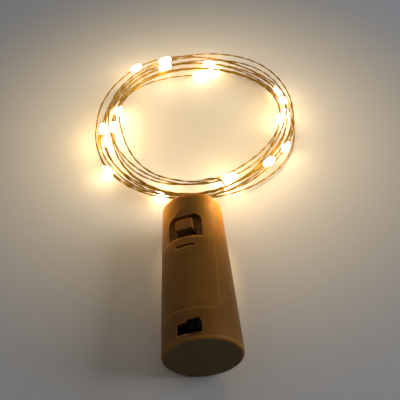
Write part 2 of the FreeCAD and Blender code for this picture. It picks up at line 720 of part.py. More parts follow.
def make_switch():
    """Slide switch: bent frame, base with three pins, knob and the finger it carries."""
    along = ("slot_middle - frame_width / 2", "slot_middle + frame_width / 2")
    outer = block("frame_outside", mirrored("frame_length / 2"), along, ("board_top", "frame_top"))
    inner = block("frame_inside", mirrored("(frame_length / 2 - frame_sheet)"),
                  ("%s + frame_sheet" % along[0], "%s - frame_sheet" % along[1]),
                  ("board_top - overrun", "frame_top - frame_sheet"))
    reach = "(knob_place + stem_side / 2 + stem_gap)"
    window = block("frame_window", mirrored(reach),
                   ("slot_middle - stem_side / 2 - stem_gap", "slot_middle + stem_side / 2 + stem_gap"),
                   ("board_top", "frame_top + overrun"))
    finish(cut("switch_frame", cut("frame_box", outer, inner), window), "switch_frame")

    inside = ("%s + frame_sheet + stem_gap" % along[0], "%s - frame_sheet - stem_gap" % along[1])
    plate = block("base_plate", mirrored("(frame_length / 2 - frame_sheet - stem_gap)"), inside,
                  ("board_top", "board_top + switch_base_height"))
    pin_places = ["%d * pin_pitch" % step for step in (-1, 0, 1)]

    def pin(name, middle, side, thickness, low, high):
        return block(name, ("%s - %s" % (middle, side), "%s + %s" % (middle, side)),
                     ("slot_middle - %s" % thickness, "slot_middle + %s" % thickness), (low, high))
    low = "board_under - pin_tail"
    high = "board_top + switch_base_height + pin_head"
    pins = [pin("pin_%d" % number, middle, "pin_width / 2", "pin_sheet / 2", low, high)
            for number, middle in enumerate(pin_places, start=1)]
    bores = [pin("base_bore_%d" % number, middle, "pin_width / 2", "pin_sheet / 2", low, high)
             for number, middle in enumerate(pin_places, start=1)]
    finish(cut("switch_base", plate, fuse("base_bores", *bores)), "switch_base")
    finish(fuse("switch_pins", *pins), "switch_pins")

    board = block("board_plate", mirrored("board_half_width"), ("board_start", "board_end"),
                  ("board_under", "board_top"))
    holes = [pin("board_bore_%d" % number, middle, "(pin_width / 2 + stem_gap)", "(pin_sheet / 2 + stem_gap)",
                 low, high) for number, middle in enumerate(pin_places, start=1)]
    finish(cut("circuit_board", board, fuse("board_bores", *holes)), "circuit_board")
    finish(make_pad("resistor",
                    ("-resistor_place - resistor_length / 2", "-resistor_place + resistor_length / 2"),
                    ("board_end - 2 * resistor_width", "board_end - resistor_width"),
                    ("board_top", "board_top + resistor_height")), "resistor")

    handle = block("knob_handle", ("knob_place - knob_length / 2", "knob_place + knob_length / 2"),
                   ("slot_middle - knob_width / 2", "slot_middle + knob_width / 2"),
                   ("frame_top + stem_gap", "%s + knob_proud" % surface_height("slot_start")))
    top = size("%s + knob_proud" % surface_height("slot_start"))
    handle = fillet("knob_handle_round", handle, "knob_edge", lambda edge, middle: abs(middle.z - top) < NEAR)
    stem = block("knob_stem", ("knob_place - stem_side / 2", "knob_place + stem_side / 2"),
                 ("slot_middle - stem_side / 2", "slot_middle + stem_side / 2"),
                 ("frame_top - frame_sheet - slider_height", "frame_top + 2 * stem_gap"))
    slider = block("knob_slider", ("knob_place - slider_length / 2", "knob_place + slider_length / 2"),
                   ("slot_middle - slider_width / 2", "slot_middle + slider_width / 2"),
                   ("slider_top - slider_height", "slider_top"))
    finish(fuse("switch_knob", handle, stem, slider), "switch_knob")
    finger_low = "(board_top + switch_base_height + pin_head + stem_gap)"
    finger = make_pad("switch_finger", ("knob_place - pin_pitch / 2 - pin_width",
                                        "knob_place + pin_pitch / 2 + pin_width"),
                      ("slot_middle - pin_sheet", "slot_middle + pin_sheet"),
                      (finger_low, "slider_top - slider_height"))
    finish(finger, "switch_finger")


def make_plug():
    """Moulded bush that grips the string's wire in the small face."""
    maker = BodyMaker("wire_bush")
    profile = maker.polygon(maker.sketch("YZ_Plane"), [
        ("plug_start", "0"), ("plug_start", "plug_flange_radius"),
        ("case_length - end_wall", "plug_flange_radius"), ("case_length - end_wall", "exit_radius"),
        ("case_length", "exit_radius"), ("case_length", "plug_nozzle_radius"),
        ("case_length + plug_proud", "plug_nozzle_radius"), ("case_length + plug_proud", "0")])
    maker.revolve("bush_turn", profile)
    finish(maker.body, "wire_bush")


def feature_of(name, shape, placement=FreeCAD.Placement()):
    """Keep a shape made by formula as a named sub-part."""
    item = doc.addObject("Part::Feature", name)
    item.Shape = shape
    item.Placement = placement
    item.Label = name
    PIECES.append(item)
    return item


def rounded_route(points, label):
    """Join straight runs with tangent arcs that are as large as the runs allow."""
    edges = []
    start = points[0]
    radii = []
    for before, corner, after in zip(points, points[1:], points[2:]):
        inward = (corner - before).normalize()
        outward = (after - corner).normalize()
        half_turn = inward.getAngle(outward) / 2
        trim = ARC_SHARE * min((corner - before).Length, (after - corner).Length)
        radii.append(trim / math.tan(half_turn))
        first = corner - inward * trim
        last = corner + outward * trim
        middle_way = (outward - inward).normalize()
        middle = corner + middle_way * (radii[-1] / math.cos(half_turn) - radii[-1])
        edges.append(Part.LineSegment(start, first).toShape())
        edges.append(Part.Arc(first, middle, last).toShape())
        start = last
    edges.append(Part.LineSegment(start, points[-1]).toShape())
    print("%s bend radii in mm: %s" % (label, ", ".join("%.1f" % radius for radius in radii)))
    return Part.Wire(edges)


def tube(path, radius, label):
    """Sweep a round section along a path and compare its volume with length times section."""
    first = path.OrderedEdges[0]
    heading = first.tangentAt(first.FirstParameter)
    ring = Part.Wire(Part.Circle(first.valueAt(first.FirstParameter), heading, radius).toShape())
    solid = path.makePipeShell([ring], True, False)
    expected = math.pi * radius ** 2 * path.Length
    print("%s: length %.1f mm, volume %.4f of section times length"
          % (label, path.Length, solid.Volume / expected))
    return solid


def make_leads():
    """Two insulated leads inside the case, both gripped by the bush."""
    across, down = size("lead_across"), size("lead_down")
    gathered = size("plug_start")
    turn_in = size("tail_start + 2 * lead_radius")
    straight = size("lead_straight")
    near = size("2 * lead_radius")
    drop = size("lead_drop_place")
    bend = size("lead_bend")
    ease = size("lead_bend * 2 / 3")
    to_bush = [Vector(across - ease, turn_in + ease, ease - down),
               Vector(near, gathered - straight, 0), Vector(near, gathered, 0)]
    switched = [Vector(across, drop, size("board_under")), Vector(across, drop, bend - down),
                Vector(across, drop + bend, -down), Vector(across, turn_in, -down)] + to_bush
    returned = [Vector(-across, size("bay_end"), -down), Vector(-across, turn_in, -down)]
    returned += [Vector(-point.x, point.y, point.z) for point in to_bush]
    for name, points in (("switched_lead", switched), ("return_lead", returned)):
        feature_of(name, tube(rounded_route(points, name), size("lead_radius"), name), CASE_PLACEMENT)


def biarc(start, start_way, end, end_way):
    """Two arcs that leave one point and reach another along given directions."""
    chord = end - start
    along = chord.dot(start_way + end_way)
    spread = 2 * (1 - start_way.dot(end_way))
    if spread < TINY:
        reach = chord.dot(chord) / (4 * chord.dot(end_way))
    else:
        reach = (math.sqrt(along ** 2 + spread * chord.dot(chord)) - along) / spread
    joint = (start + start_way * reach + end - end_way * reach) / 2
    edges = []
    for first, way, last in ((start, start_way, joint), (end, end_way * -1, joint)):
        straight = last - first
        normal = straight - way * straight.dot(way)
        if normal.Length < NEAR ** 2:
            edges.append((first, None, last))
            continue
        normal = normal.normalize()
        radius = straight.dot(straight) / (2 * straight.dot(normal))
        centre = first + normal * radius
        middle = centre + ((first + last) / 2 - centre).normalize() * radius
        edges.append((first, middle, last))
    first_arc, second_arc = edges
    second_arc = (second_arc[2], second_arc[1], second_arc[0])
    return [Part.LineSegment(a, c).toShape() if b is None else Part.Arc(a, b, c).toShape()
            for a, b, c in (first_arc, second_arc)]


def biarc_wire(place_at, steps, end):
    """Wire of biarcs through places of a curve, given as a function of its parameter."""
    nudge = NEAR / PLACES_PER_TURN
    places = [end * step / steps for step in range(steps + 1)]
    points = [place_at(value) for value in places]
    ways = [(place_at(min(value + nudge, end)) - place_at(max(value - nudge, 0))).normalize()
            for value in places]
    edges = []
    for index in range(steps):
        edges += biarc(points[index], ways[index], points[index + 1], ways[index + 1])
    return Part.Wire(edges)


def make_spring():
    """Conical contact spring behind the last cell, wide end on the rear contact."""
    wire = size("spring_wire / 2")
    low = size("bay_end - contact_sheet - spring_wire / 2")
    climb = size("spring_height - spring_wire")
    wide, narrow = size("spring_wide_radius - spring_wire"), size("spring_narrow_radius")
    turns = size("spring_turns")

    def place_at(turn):
        share = turn / turns
        angle = 2 * math.pi * turn
        radius = wide + (narrow - wide) * share
        return Vector(radius * math.cos(angle), low - climb * share, radius * math.sin(angle))
    path = biarc_wire(place_at, round(PLACES_PER_TURN * turns), turns)
    feature_of("negative_spring", tube(path, wire, "negative_spring"), CASE_PLACEMENT)


def wave(angle, shares):
    return sum(cosine * math.cos(number * angle) + sine * math.sin(number * angle)
               for number, cosine, sine in shares)


def coil_place(turn):
    """Centre of the wire after so many turns, counted from the coil's start at the top."""
    turns, layers = size("coil_turns"), int(size("coil_layers"))
    angle = math.radians(size("coil_start_angle")) - 2 * math.pi * turn
    in_layer = turns / layers
    layer = min(int(turn / in_layer), layers - 1)
    across = turn / in_layer - layer
    if layer % 2:
        across = 1 - across
    middle = size("coil_radius") * (1 + wave(angle, MIDDLE_WAVE_SHARES))
    band = size("coil_band") * (1 + wave(angle, BAND_WAVE_SHARES))
    radius = middle + band * (across - 1 / 2)
    height = size("bead_radius") + size("coil_layer_rise") * (layers - 1)
    for passed in range(1, layers):
        step = min(max((turn - passed * in_layer) / CLIMB_TURNS + 1 / 2, 0), 1)
        height -= size("coil_layer_rise") * (3 * step ** 2 - 2 * step ** 3)
    return Vector(size("coil_centre_x") + radius * math.cos(angle),
                  size("coil_centre_y") + radius * math.sin(angle), height)


def least_gap(path, thickness):
    """Least clear gap of a tube to itself, from points along its middle line kept in a grid."""
    spacing = thickness
    reach = 8 * thickness
    skip = round(reach / spacing)
    points = path.discretize(Distance=spacing)
    grid = {}
    for index, point in enumerate(points):
        cell = tuple(math.floor(value / reach) for value in point)
        grid.setdefault(cell, []).append((index, point))
    least = reach
    for (x, y, z), here in grid.items():
        around = [item for dx in (-1, 0, 1) for dy in (-1, 0, 1) for dz in (-1, 0, 1)
                  for item in grid.get((x + dx, y + dy, z + dz), ())]
        for index, point in here:
            for other, beside in around:
                if other > index + skip:
                    least = min(least, (point - beside).Length)
    return least - thickness


def make_string():
    """Lead, coil, lamps and the chips inside them."""
    wire = size("wire_radius")
    turns = size("coil_turns")
    coil = biarc_wire(coil_place, round(PLACES_PER_TURN * turns), turns)
    feature_of("wire_coil", tube(coil, wire, "wire_coil"))
    print("wire_coil: least gap to itself %.2f mm" % least_gap(coil, 2 * wire))

    exit_place = CASE_PLACEMENT.multVec(Vector(0, size("case_length + plug_proud"), 0))
    exit_way = CASE_PLACEMENT.Rotation.multVec(Vector(0, 1, 0))
    start = coil.OrderedEdges[0]
    coil_start = start.valueAt(start.FirstParameter)
    coil_way = start.tangentAt(start.FirstParameter)
    run = size("12 * wire_radius")
    points = ([exit_place, exit_place + exit_way * run] + [Vector(*point) for point in LEAD_POINTS]
              + [coil_start - coil_way * run, coil_start])
    lead = rounded_route(points, "wire_lead")
    feature_of("wire_lead", tube(lead, wire, "wire_lead"))

    chips = []
    bead_axis = Vector(0, 0, 1)
    first = size("lamp_first")
    spacing = (coil.Length - size("bead_length / 4") - first) / (size("lamp_count") - 1)
    for number in range(int(size("lamp_count"))):
        place, way = place_along(coil, first + number * spacing + LAMP_SHIFTS.get(number + 1, 0))
        turn = FreeCAD.Rotation(bead_axis, way)
        bead = doc.addObject("Part::Ellipsoid", "led_bead_%02d" % (number + 1))
        bind(bead, Radius1="bead_length / 2", Radius2="bead_radius", Radius3="bead_radius")
        finish(bead, "led_bead_%02d" % (number + 1), FreeCAD.Placement(place, turn))
        length, width, height = (size("chip_" + side) for side in ("length", "width", "height"))
        chip = Part.makeBox(height, width, length, Vector(-height / 2, -width / 2, -length / 2))
        chip.Placement = FreeCAD.Placement(place, turn)
        chips.append(chip)
    feature_of("led_chips", Part.makeCompound(chips))
    print("lamps %.2f mm apart" % spacing)
    print("string length %.0f mm" % (lead.Length + coil.Length))


def place_along(path, distance):
    """Place and direction at a distance along a wire."""
    for edge in path.OrderedEdges:
        if distance <= edge.Length:
            parameter = edge.getParameterByLength(distance)
            return edge.valueAt(parameter), edge.tangentAt(parameter)
        distance -= edge.Length
    raise ValueError("beyond the end of the wire")


make_housing()
make_end_cap()
make_battery_cover()
make_cover_latch()
make_cells()
make_contacts()
make_switch()
make_plug()
make_leads()
make_spring()
make_string()
doc.recompute()

faults = [item.Label for item in doc.Objects if {"Invalid", "Error"} & set(item.State)]
for piece in PIECES:
    if piece.Shape.isNull() or not piece.Shape.isValid() or not piece.Shape.Solids:
        faults.append(piece.Label + " has no valid shape")
if faults:
    raise SystemExit("Failed: " + ", ".join(faults))
os.makedirs("parts", exist_ok=True)
for piece in PIECES:
    piece.Shape.exportStep("parts/%s.step" % piece.Label)
    print("%-18s %d solids %9.2f mm3" % (piece.Label, len(piece.Shape.Solids), piece.Shape.Volume))
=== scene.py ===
"""Dress the cork bottle light for Blender 4.5.

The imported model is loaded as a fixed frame. Each class below dresses one sub-assembly: the string
of lamps first, then the case, its cover and latch, its cells and contacts, its switch, and last
the table and the lights. Lengths are in metres unless a name or a comment says millimetres.
"""

from __future__ import annotations

import logging
import math
import random
from dataclasses import dataclass
from enum import Enum

import bmesh
import bpy
from bmesh.types import BMesh, BMVert
from bpy.types import Material, Node, NodeSocket, NodeTree, Object
from mathutils import Matrix, Vector

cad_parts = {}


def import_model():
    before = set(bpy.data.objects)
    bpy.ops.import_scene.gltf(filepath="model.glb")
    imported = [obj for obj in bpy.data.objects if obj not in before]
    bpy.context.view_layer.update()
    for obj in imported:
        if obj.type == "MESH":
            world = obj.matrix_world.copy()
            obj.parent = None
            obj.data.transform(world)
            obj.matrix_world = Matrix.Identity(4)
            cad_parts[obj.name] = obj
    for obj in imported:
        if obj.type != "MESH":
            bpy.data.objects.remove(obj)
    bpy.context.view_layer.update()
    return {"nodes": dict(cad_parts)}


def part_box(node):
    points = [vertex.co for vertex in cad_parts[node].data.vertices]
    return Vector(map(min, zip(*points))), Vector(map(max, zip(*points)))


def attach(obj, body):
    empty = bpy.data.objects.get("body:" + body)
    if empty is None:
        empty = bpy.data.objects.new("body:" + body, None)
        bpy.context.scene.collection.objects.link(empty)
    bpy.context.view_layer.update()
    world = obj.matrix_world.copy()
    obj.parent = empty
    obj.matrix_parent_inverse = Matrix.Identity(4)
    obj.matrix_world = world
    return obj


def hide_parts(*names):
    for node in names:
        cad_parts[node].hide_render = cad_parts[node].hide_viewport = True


LOG = logging.getLogger("cork_light")
MM = 0.001
# A colour mix numbers its sockets, because their names repeat.
MIX_A = 6
MIX_B = 7
MIXED = 2
# Where a noise pattern counts as low or high, on its scale from 0 to 1.
PATCH_LOW = 0.34
PATCH_HIGH = 0.66
BEVEL_SAMPLES = 6
# Profile that makes a bevel a true arc.
ROUND = 0.5
# Name of the drops' attribute that is 0 at their middle and 1 at their tips.
ALONG_DROP = "along_drop"


class Way(Enum):
    """Factors on an object's coordinates before a pattern reads them; a small one draws it long."""

    SAME_ALL_WAYS = (1.0, 1.0, 1.0)
    LONG_ALONG_CASE = (1.0, 0.12, 1.0)
    RINGS_ROUND_CASE = (0.03, 1.0, 0.03)


def linear(hex_colour: str) -> tuple[float, float, float, float]:
    """Turn an sRGB hex colour into linear light.

    Args:
        hex_colour: Six hex digits, with or without a leading hash.

    Returns:
        Red, green, blue and an alpha of 1.
    """
    digits = hex_colour.lstrip("#")
    channels = [int(digits[place:place + 2], 16) / 255 for place in (0, 2, 4)]
    light = [c / 12.92 if c <= 0.04045 else ((c + 0.055) / 1.055) ** 2.4 for c in channels]
    return (*light, 1.0)


def per_metre(feature_mm: float) -> float:
    """Return the texture scale whose features are so many millimetres wide."""
    return 1000.0 / feature_mm


def add_node(tree: NodeTree, kind: str, inputs: dict | None = None, **settings: object) -> Node:
    """Add a node with its settings, values and links.

    Args:
        tree: Node tree that gets the node.
        kind: The node's type name.
        inputs: Values or output sockets by the name or number of the input they go to.
        **settings: Properties of the node.

    Returns:
        The new node.
    """
    node = tree.nodes.new(kind)
    for name, value in settings.items():
        setattr(node, name, value)
    for name, value in (inputs or {}).items():
        if isinstance(value, NodeSocket):
            tree.links.new(value, node.inputs[name])
        else:
            node.inputs[name].default_value = value
    return node


def set_ramp(node: Node, stops: list[tuple[float, tuple]]) -> Node:
    """Give a colour ramp its stops.

    Args:
        node: Colour ramp node.
        stops: Places from 0 to 1 with their linear colours.

    Returns:
        The same node.
    """
    elements = node.color_ramp.elements
    while len(elements) < len(stops):
        elements.new(1.0)
    for element, (place, colour) in zip(elements, stops):
        element.position = place
        element.color = colour
    return node


def grey(level: float) -> tuple[float, float, float, float]:
    """Return a linear grey with an alpha of 1."""
    return (level, level, level, 1.0)


def dress(piece: Object, *finishes: Material) -> None:
    """Put finishes into an object's material slots.

    Args:
        piece: Mesh object.
        *finishes: One material for each slot; the last one also fills any slot left over.
    """
    while len(piece.material_slots) < len(finishes):
        piece.data.materials.append(finishes[len(piece.material_slots)])
    for index, place in enumerate(piece.material_slots):
        place.material = finishes[min(index, len(finishes) - 1)]


def object_from(name: str, mesh: BMesh, smooth: bool | None = True) -> Object:
    """Make a scene object from a bmesh and free the bmesh.

    Args:
        name: Name of the object and its mesh.
        mesh: Finished geometry.
        smooth: Whether its faces are shaded smooth, or None to leave each as it is.

    Returns:
        The linked object.
    """
    data = bpy.data.meshes.new(name)
    if smooth is not None:
        for face in mesh.faces:
            face.smooth = smooth
    mesh.to_mesh(data)
    mesh.free()
    made = bpy.data.objects.new(name, data)
    bpy.context.scene.collection.objects.link(made)
    return made


def join_rings(mesh: BMesh, rings: list[list[BMVert]]) -> None:
    """Join rings of corners into a tube with closed ends.

    Args:
        mesh: Geometry that holds the corners.
        rings: Rings of equally many corners, from one end to the other.
    """
    for ring, following in zip(rings, rings[1:]):
        for index in range(len(ring)):
            after = (index + 1) % len(ring)
            mesh.faces.new((ring[index], ring[after], following[after], following[index]))
    mesh.faces.new(list(reversed(rings[0])))
    mesh.faces.new(rings[-1])


@dataclass(frozen=True)
class Finish:
    """A surface finish that starts with one colour, roughness, metal and specular level."""

    name: str
    colour: str
    roughness: float = 0.4
    metallic: float = 0.0
    specular: float = 0.5
    # How far a pattern may take the roughness down and up.
    shinier: float = 0.08
    duller: float = 0.08

    def start(self) -> tuple[Material, NodeTree, Node]:
        """Make the material and its shader.

        Returns:
            The material, its node tree and its Principled shader.
        """
        made = bpy.data.materials.new(self.name)
        made.use_nodes = True
        made.diffuse_color = linear(self.colour)
        tree = made.node_tree
        shader = tree.nodes["Principled BSDF"]
        shader.inputs["Base Color"].default_value = linear(self.colour)
        shader.inputs["Roughness"].default_value = self.roughness
        shader.inputs["Metallic"].default_value = self.metallic
        shader.inputs["Specular IOR Level"].default_value = self.specular
        return made, tree, shader

    def place(self, tree: NodeTree, way: Way = Way.SAME_ALL_WAYS) -> NodeSocket:
        """Give the object's own coordinates, stretched for a pattern with a direction.

        Args:
            tree: Node tree of the finish.
            way: Direction of the pattern.

        Returns:
            Output socket with the coordinates in metres.
        """
        coordinates = add_node(tree, "ShaderNodeTexCoord")
        stretched = add_node(tree, "ShaderNodeMapping",
                             {"Vector": coordinates.outputs["Object"], "Scale": way.value})
        return stretched.outputs["Vector"]

    def mottle(self, tree: NodeTree, place: NodeSocket, size_mm: float, low: tuple,
               high: tuple) -> NodeSocket:
        """Vary a colour in soft patches.

        Args:
            tree: Node tree of the finish.
            place: Coordinates of the pattern.
            size_mm: Width of a patch.
            low: Linear colour in the low patches.
            high: Linear colour in the high patches.

        Returns:
            Output socket with the varied colour.
        """
        noise = add_node(tree, "ShaderNodeTexNoise",
                         {"Vector": place, "Scale": per_metre(size_mm), "Detail": 4.0, "Roughness": 0.6})
        ramp = add_node(tree, "ShaderNodeValToRGB", {"Fac": noise.outputs["Fac"]})
        return set_ramp(ramp, [(PATCH_LOW, low), (PATCH_HIGH, high)]).outputs["Color"]

    def vary_gloss(self, tree: NodeTree, shader: Node, pattern: NodeSocket) -> None:
        """Let the roughness follow a pattern.

        Args:
            tree: Node tree of the finish.
            shader: The finish's shader.
            pattern: Pattern from 0 to 1.
        """
        dull = add_node(tree, "ShaderNodeMapRange", {
            "Value": pattern, "To Min": self.roughness - self.shinier,
            "To Max": self.roughness + self.duller})
        tree.links.new(dull.outputs["Result"], shader.inputs["Roughness"])

    def relief(self, tree: NodeTree, shader: Node, height: NodeSocket, depth_mm: float,
               round_mm: float = 0.0) -> None:
        """Raise the surface by a pattern and round its sharp edges.

        Args:
            tree: Node tree of the finish.
            shader: The finish's shader.
            height: Pattern from 0 to 1.
            depth_mm: How deep the pattern is.
            round_mm: Radius of the edges, or 0 to leave them.
        """
        bump = add_node(tree, "ShaderNodeBump",
                        {"Height": height, "Distance": depth_mm * MM, "Strength": 1.0})
        if round_mm:
            rounded = add_node(tree, "ShaderNodeBevel", {"Radius": round_mm * MM}, samples=BEVEL_SAMPLES)
            tree.links.new(rounded.outputs["Normal"], bump.inputs["Normal"])
        tree.links.new(bump.outputs["Normal"], shader.inputs["Normal"])


@dataclass(frozen=True)
class MouldedCorkPlastic(Finish):
    """Injection-moulded polypropylene in cork tan, with a fine spark-eroded grain.

    The grain breaks up the highlights and the thin walls let a little light through. Painted highlights
    pale the high edges and the wide rim, a painted glow lights the small end, and painted shade darkens
    the wide end's rounding. Reaches along the piece are shares of its length from the wide end.
    """

    shinier: float = 0.07
    duller: float = 0.1
    dark: str = "#452C07"
    # Painted highlight: the high edges are mixed toward this paler colour.
    edge: str = "#A87432"
    # Painted shade: the wide end's rounding is darkened toward this colour.
    end_shade: str = "#463617"
    end_shade_reach: tuple[float, float] = (0.004, 0.016)
    # Painted highlight: a paler band round the wide rim.
    rim_edge_highlight: float = 0.0
    rim_highlight_reach: tuple[float, float] = (0.014, 0.034)
    # Painted glow: orange emission at the small end, standing in for lamp light through the wall.
    painted_glow: str = "#D0640A"
    painted_glow_strength: float = 0.42
    painted_glow_from: float = 0.95
    patch_mm: float = 9.0
    streak_mm: float = 1.6
    # The real grain is about 0.1 mm wide, and is drawn coarser so that it shows.
    grain_mm: float = 0.35
    grain_depth_mm: float = 0.012
    round_mm: float = 0.22
    edge_highlight_mm: float = 0.5
    edge_highlight: float = 0.6
    # Cosine between the rounded and the true normal where the painted edge highlight starts and where it
    # is full.
    edge_highlight_cosines: tuple[float, float] = (0.99, 0.8)
    wall_light: float = 0.35
    wall_light_mm: float = 2.5
    wall_light_reach: tuple[float, float, float] = (1.0, 0.42, 0.1)

    def make(self) -> Material:
        """Make the grained, slightly waxy plastic.

        Returns:
            The material.
        """
        made, tree, shader = self.start()
        place = self.place(tree)
        box = add_node(tree, "ShaderNodeTexCoord")
        along = add_node(tree, "ShaderNodeSeparateXYZ", {"Vector": box.outputs["Generated"]}).outputs["Y"]
        tree.links.new(self.surface_colour(tree, place, along), shader.inputs["Base Color"])
        # Painted glow: an orange emission near the small end stands in for the lamps' light coming through
        # its wall.
        lit = add_node(tree, "ShaderNodeMapRange", {
            "Value": along, "From Min": self.painted_glow_from, "To Max": self.painted_glow_strength},
            interpolation_type="SMOOTHSTEP")
        shader.inputs["Emission Color"].default_value = linear(self.painted_glow)
        tree.links.new(lit.outputs["Result"], shader.inputs["Emission Strength"])
        grain = add_node(tree, "ShaderNodeTexNoise", {
            "Vector": place, "Scale": per_metre(self.grain_mm), "Detail": 3.0, "Roughness": 0.55})
        self.vary_gloss(tree, shader, grain.outputs["Fac"])
        self.relief(tree, shader, grain.outputs["Fac"], self.grain_depth_mm, self.round_mm)
        shader.inputs["Subsurface Weight"].default_value = self.wall_light
        shader.inputs["Subsurface Radius"].default_value = self.wall_light_reach
        shader.inputs["Subsurface Scale"].default_value = self.wall_light_mm * MM
        return made

    def surface_colour(self, tree: NodeTree, place: NodeSocket, along: NodeSocket) -> NodeSocket:
        """Mix the patches, the flow streaks, the painted edge and rim highlights, and the painted end
        shade.

        Args:
            tree: Node tree of the finish.
            place: Coordinates of the patches.
            along: Share of the piece's length from the wide end.

        Returns:
            Output socket with the colour.
        """
        patches = self.mottle(tree, place, self.patch_mm, linear(self.dark), linear(self.colour))
        flow = add_node(tree, "ShaderNodeTexNoise", {
            "Vector": self.place(tree, Way.LONG_ALONG_CASE), "Scale": per_metre(self.streak_mm),
            "Detail": 5.0})
        streaks = add_node(tree, "ShaderNodeMix", {
            "Factor": flow.outputs["Fac"], MIX_A: patches, MIX_B: linear(self.colour)}, data_type="RGBA")
        # Painted highlight along the edges.
        pale = add_node(tree, "ShaderNodeMix", {
            "Factor": self.highlighted_edges(tree), MIX_A: streaks.outputs[MIXED], MIX_B: linear(self.edge)},
            data_type="RGBA")
        # Painted highlight on the wide rim.
        on_lit_rim = add_node(tree, "ShaderNodeMapRange", {
            "Value": along, "From Min": self.rim_highlight_reach[1], "From Max": self.rim_highlight_reach[0],
            "To Max": self.rim_edge_highlight}, interpolation_type="SMOOTHSTEP")
        rim_lit = add_node(tree, "ShaderNodeMix", {
            "Factor": on_lit_rim.outputs["Result"], MIX_A: pale.outputs[MIXED], MIX_B: linear(self.edge)},
            data_type="RGBA")
        # Painted shade: darken the rounding at the wide end.
        in_end_shade = add_node(tree, "ShaderNodeMapRange", {
            "Value": along, "From Min": self.end_shade_reach[0], "From Max": self.end_shade_reach[1],
            "To Min": 1.0, "To Max": 0.0})
        end_shaded = add_node(tree, "ShaderNodeMix", {
            "Factor": in_end_shade.outputs["Result"], MIX_A: rim_lit.outputs[MIXED],
            MIX_B: linear(self.end_shade)}, data_type="RGBA")
        return end_shaded.outputs[MIXED]

    def highlighted_edges(self, tree: NodeTree) -> NodeSocket:
        """Find the edges to paint with a highlight, where a rounded normal departs from the true one.

        Args:
            tree: Node tree of the finish.

        Returns:
            Output socket that is high on the painted edge highlights.
        """
        shape = add_node(tree, "ShaderNodeNewGeometry")
        turned = add_node(tree, "ShaderNodeBevel", {"Radius": self.edge_highlight_mm * MM}, samples=BEVEL_SAMPLES)
        alike = add_node(tree, "ShaderNodeVectorMath", {
            0: turned.outputs["Normal"], 1: shape.outputs["Normal"]}, operation="DOT_PRODUCT")
        highlighted = add_node(tree, "ShaderNodeMapRange", {
            "Value": alike.outputs["Value"], "From Min": self.edge_highlight_cosines[0],
            "From Max": self.edge_highlight_cosines[1], "To Max": self.edge_highlight})
        return highlighted.outputs["Result"]


@dataclass(frozen=True)
class FineMattSurface(Finish):
    """Moulded plastic, laminate or ceramic with a fine matt grain and soft, broken highlights."""

    # The real grain is under 0.1 mm wide, and is drawn coarser so that it shows.
    grain_mm: float = 0.25
    grain_depth_mm: float = 0.01
    patch_mm: float = 1.5
    paler: float = 1.35
    round_mm: float = 0.15

    def make(self) -> Material:
        """Make the grained surface.

        Returns:
            The material.
        """
        made, tree, shader = self.start()
        place = self.place(tree)
        grain = add_node(tree, "ShaderNodeTexNoise", {
            "Vector": place, "Scale": per_metre(self.grain_mm), "Detail": 3.0})
        own = linear(self.colour)
        pale = (*(channel * self.paler for channel in own[:3]), 1.0)
        tree.links.new(self.mottle(tree, place, self.patch_mm, own, pale), shader.inputs["Base Color"])
        self.vary_gloss(tree, shader, grain.outputs["Fac"])
        self.relief(tree, shader, grain.outputs["Fac"], self.grain_depth_mm, self.round_mm)
        return made


@dataclass(frozen=True)
class DrawnMetal(Finish):
    """Drawn or stamped metal sheet: fine lines from the tool and a few dull patches."""

    duller: float = 0.15
    # Tool lines are about 0.02 mm wide, and are drawn coarser so that they show.
    line_mm: float = 0.12
    line_depth_mm: float = 0.004
    patch_mm: float = 2.5
    round_mm: float = 0.06
    way: Way = Way.LONG_ALONG_CASE
    tarnish: str = "#8C8878"

    def make(self) -> Material:
        """Make the lined metal.

        Returns:
            The material.
        """
        made, tree, shader = self.start()
        lines = add_node(tree, "ShaderNodeTexNoise", {
            "Vector": self.place(tree, self.way), "Scale": per_metre(self.line_mm), "Detail": 3.0})
        patches = self.mottle(tree, self.place(tree), self.patch_mm, linear(self.tarnish),
                              linear(self.colour))
        tree.links.new(patches, shader.inputs["Base Color"])
        self.vary_gloss(tree, shader, lines.outputs["Fac"])
        self.relief(tree, shader, lines.outputs["Fac"], self.line_depth_mm, self.round_mm)
        return made


@dataclass(frozen=True)
class SolderMask(Finish):
    """Green lacquered glass laminate: glossy, with paler lines where tracks run under the lacquer."""

    track: str = "#2E7A45"
    track_step_mm: float = 8.0
    track_share: float = 0.035
    track_height_mm: float = 0.02
    round_mm: float = 0.05

    def make(self) -> Material:
        """Make the board's lacquer.

        Returns:
            The material.
        """
        made, tree, shader = self.start()
        tracks = add_node(tree, "ShaderNodeTexBrick", {
            "Vector": self.place(tree), "Color1": linear(self.colour), "Color2": linear(self.colour),
            "Mortar": linear(self.track), "Scale": per_metre(self.track_step_mm),
            "Mortar Size": self.track_share})
        tree.links.new(tracks.outputs["Color"], shader.inputs["Base Color"])
        self.relief(tree, shader, tracks.outputs["Fac"], self.track_height_mm, self.round_mm)
        return made


@dataclass(frozen=True)
class LacqueredCopper(Finish):
    """Drawn copper wire under clear enamel: warm metal, glossy, darker where the lacquer is thick."""

    dark: str = "#946A10"
    patch_mm: float = 2.2
    coat: float = 0.05
    coat_roughness: float = 0.08

    def make(self) -> Material:
        """Make the enamelled wire.

        Returns:
            The material.
        """
        made, tree, shader = self.start()
        patches = self.mottle(tree, self.place(tree), self.patch_mm, linear(self.dark),
                              linear(self.colour))
        tree.links.new(patches, shader.inputs["Base Color"])
        shader.inputs["Coat Weight"].default_value = self.coat
        shader.inputs["Coat Roughness"].default_value = self.coat_roughness
        return made


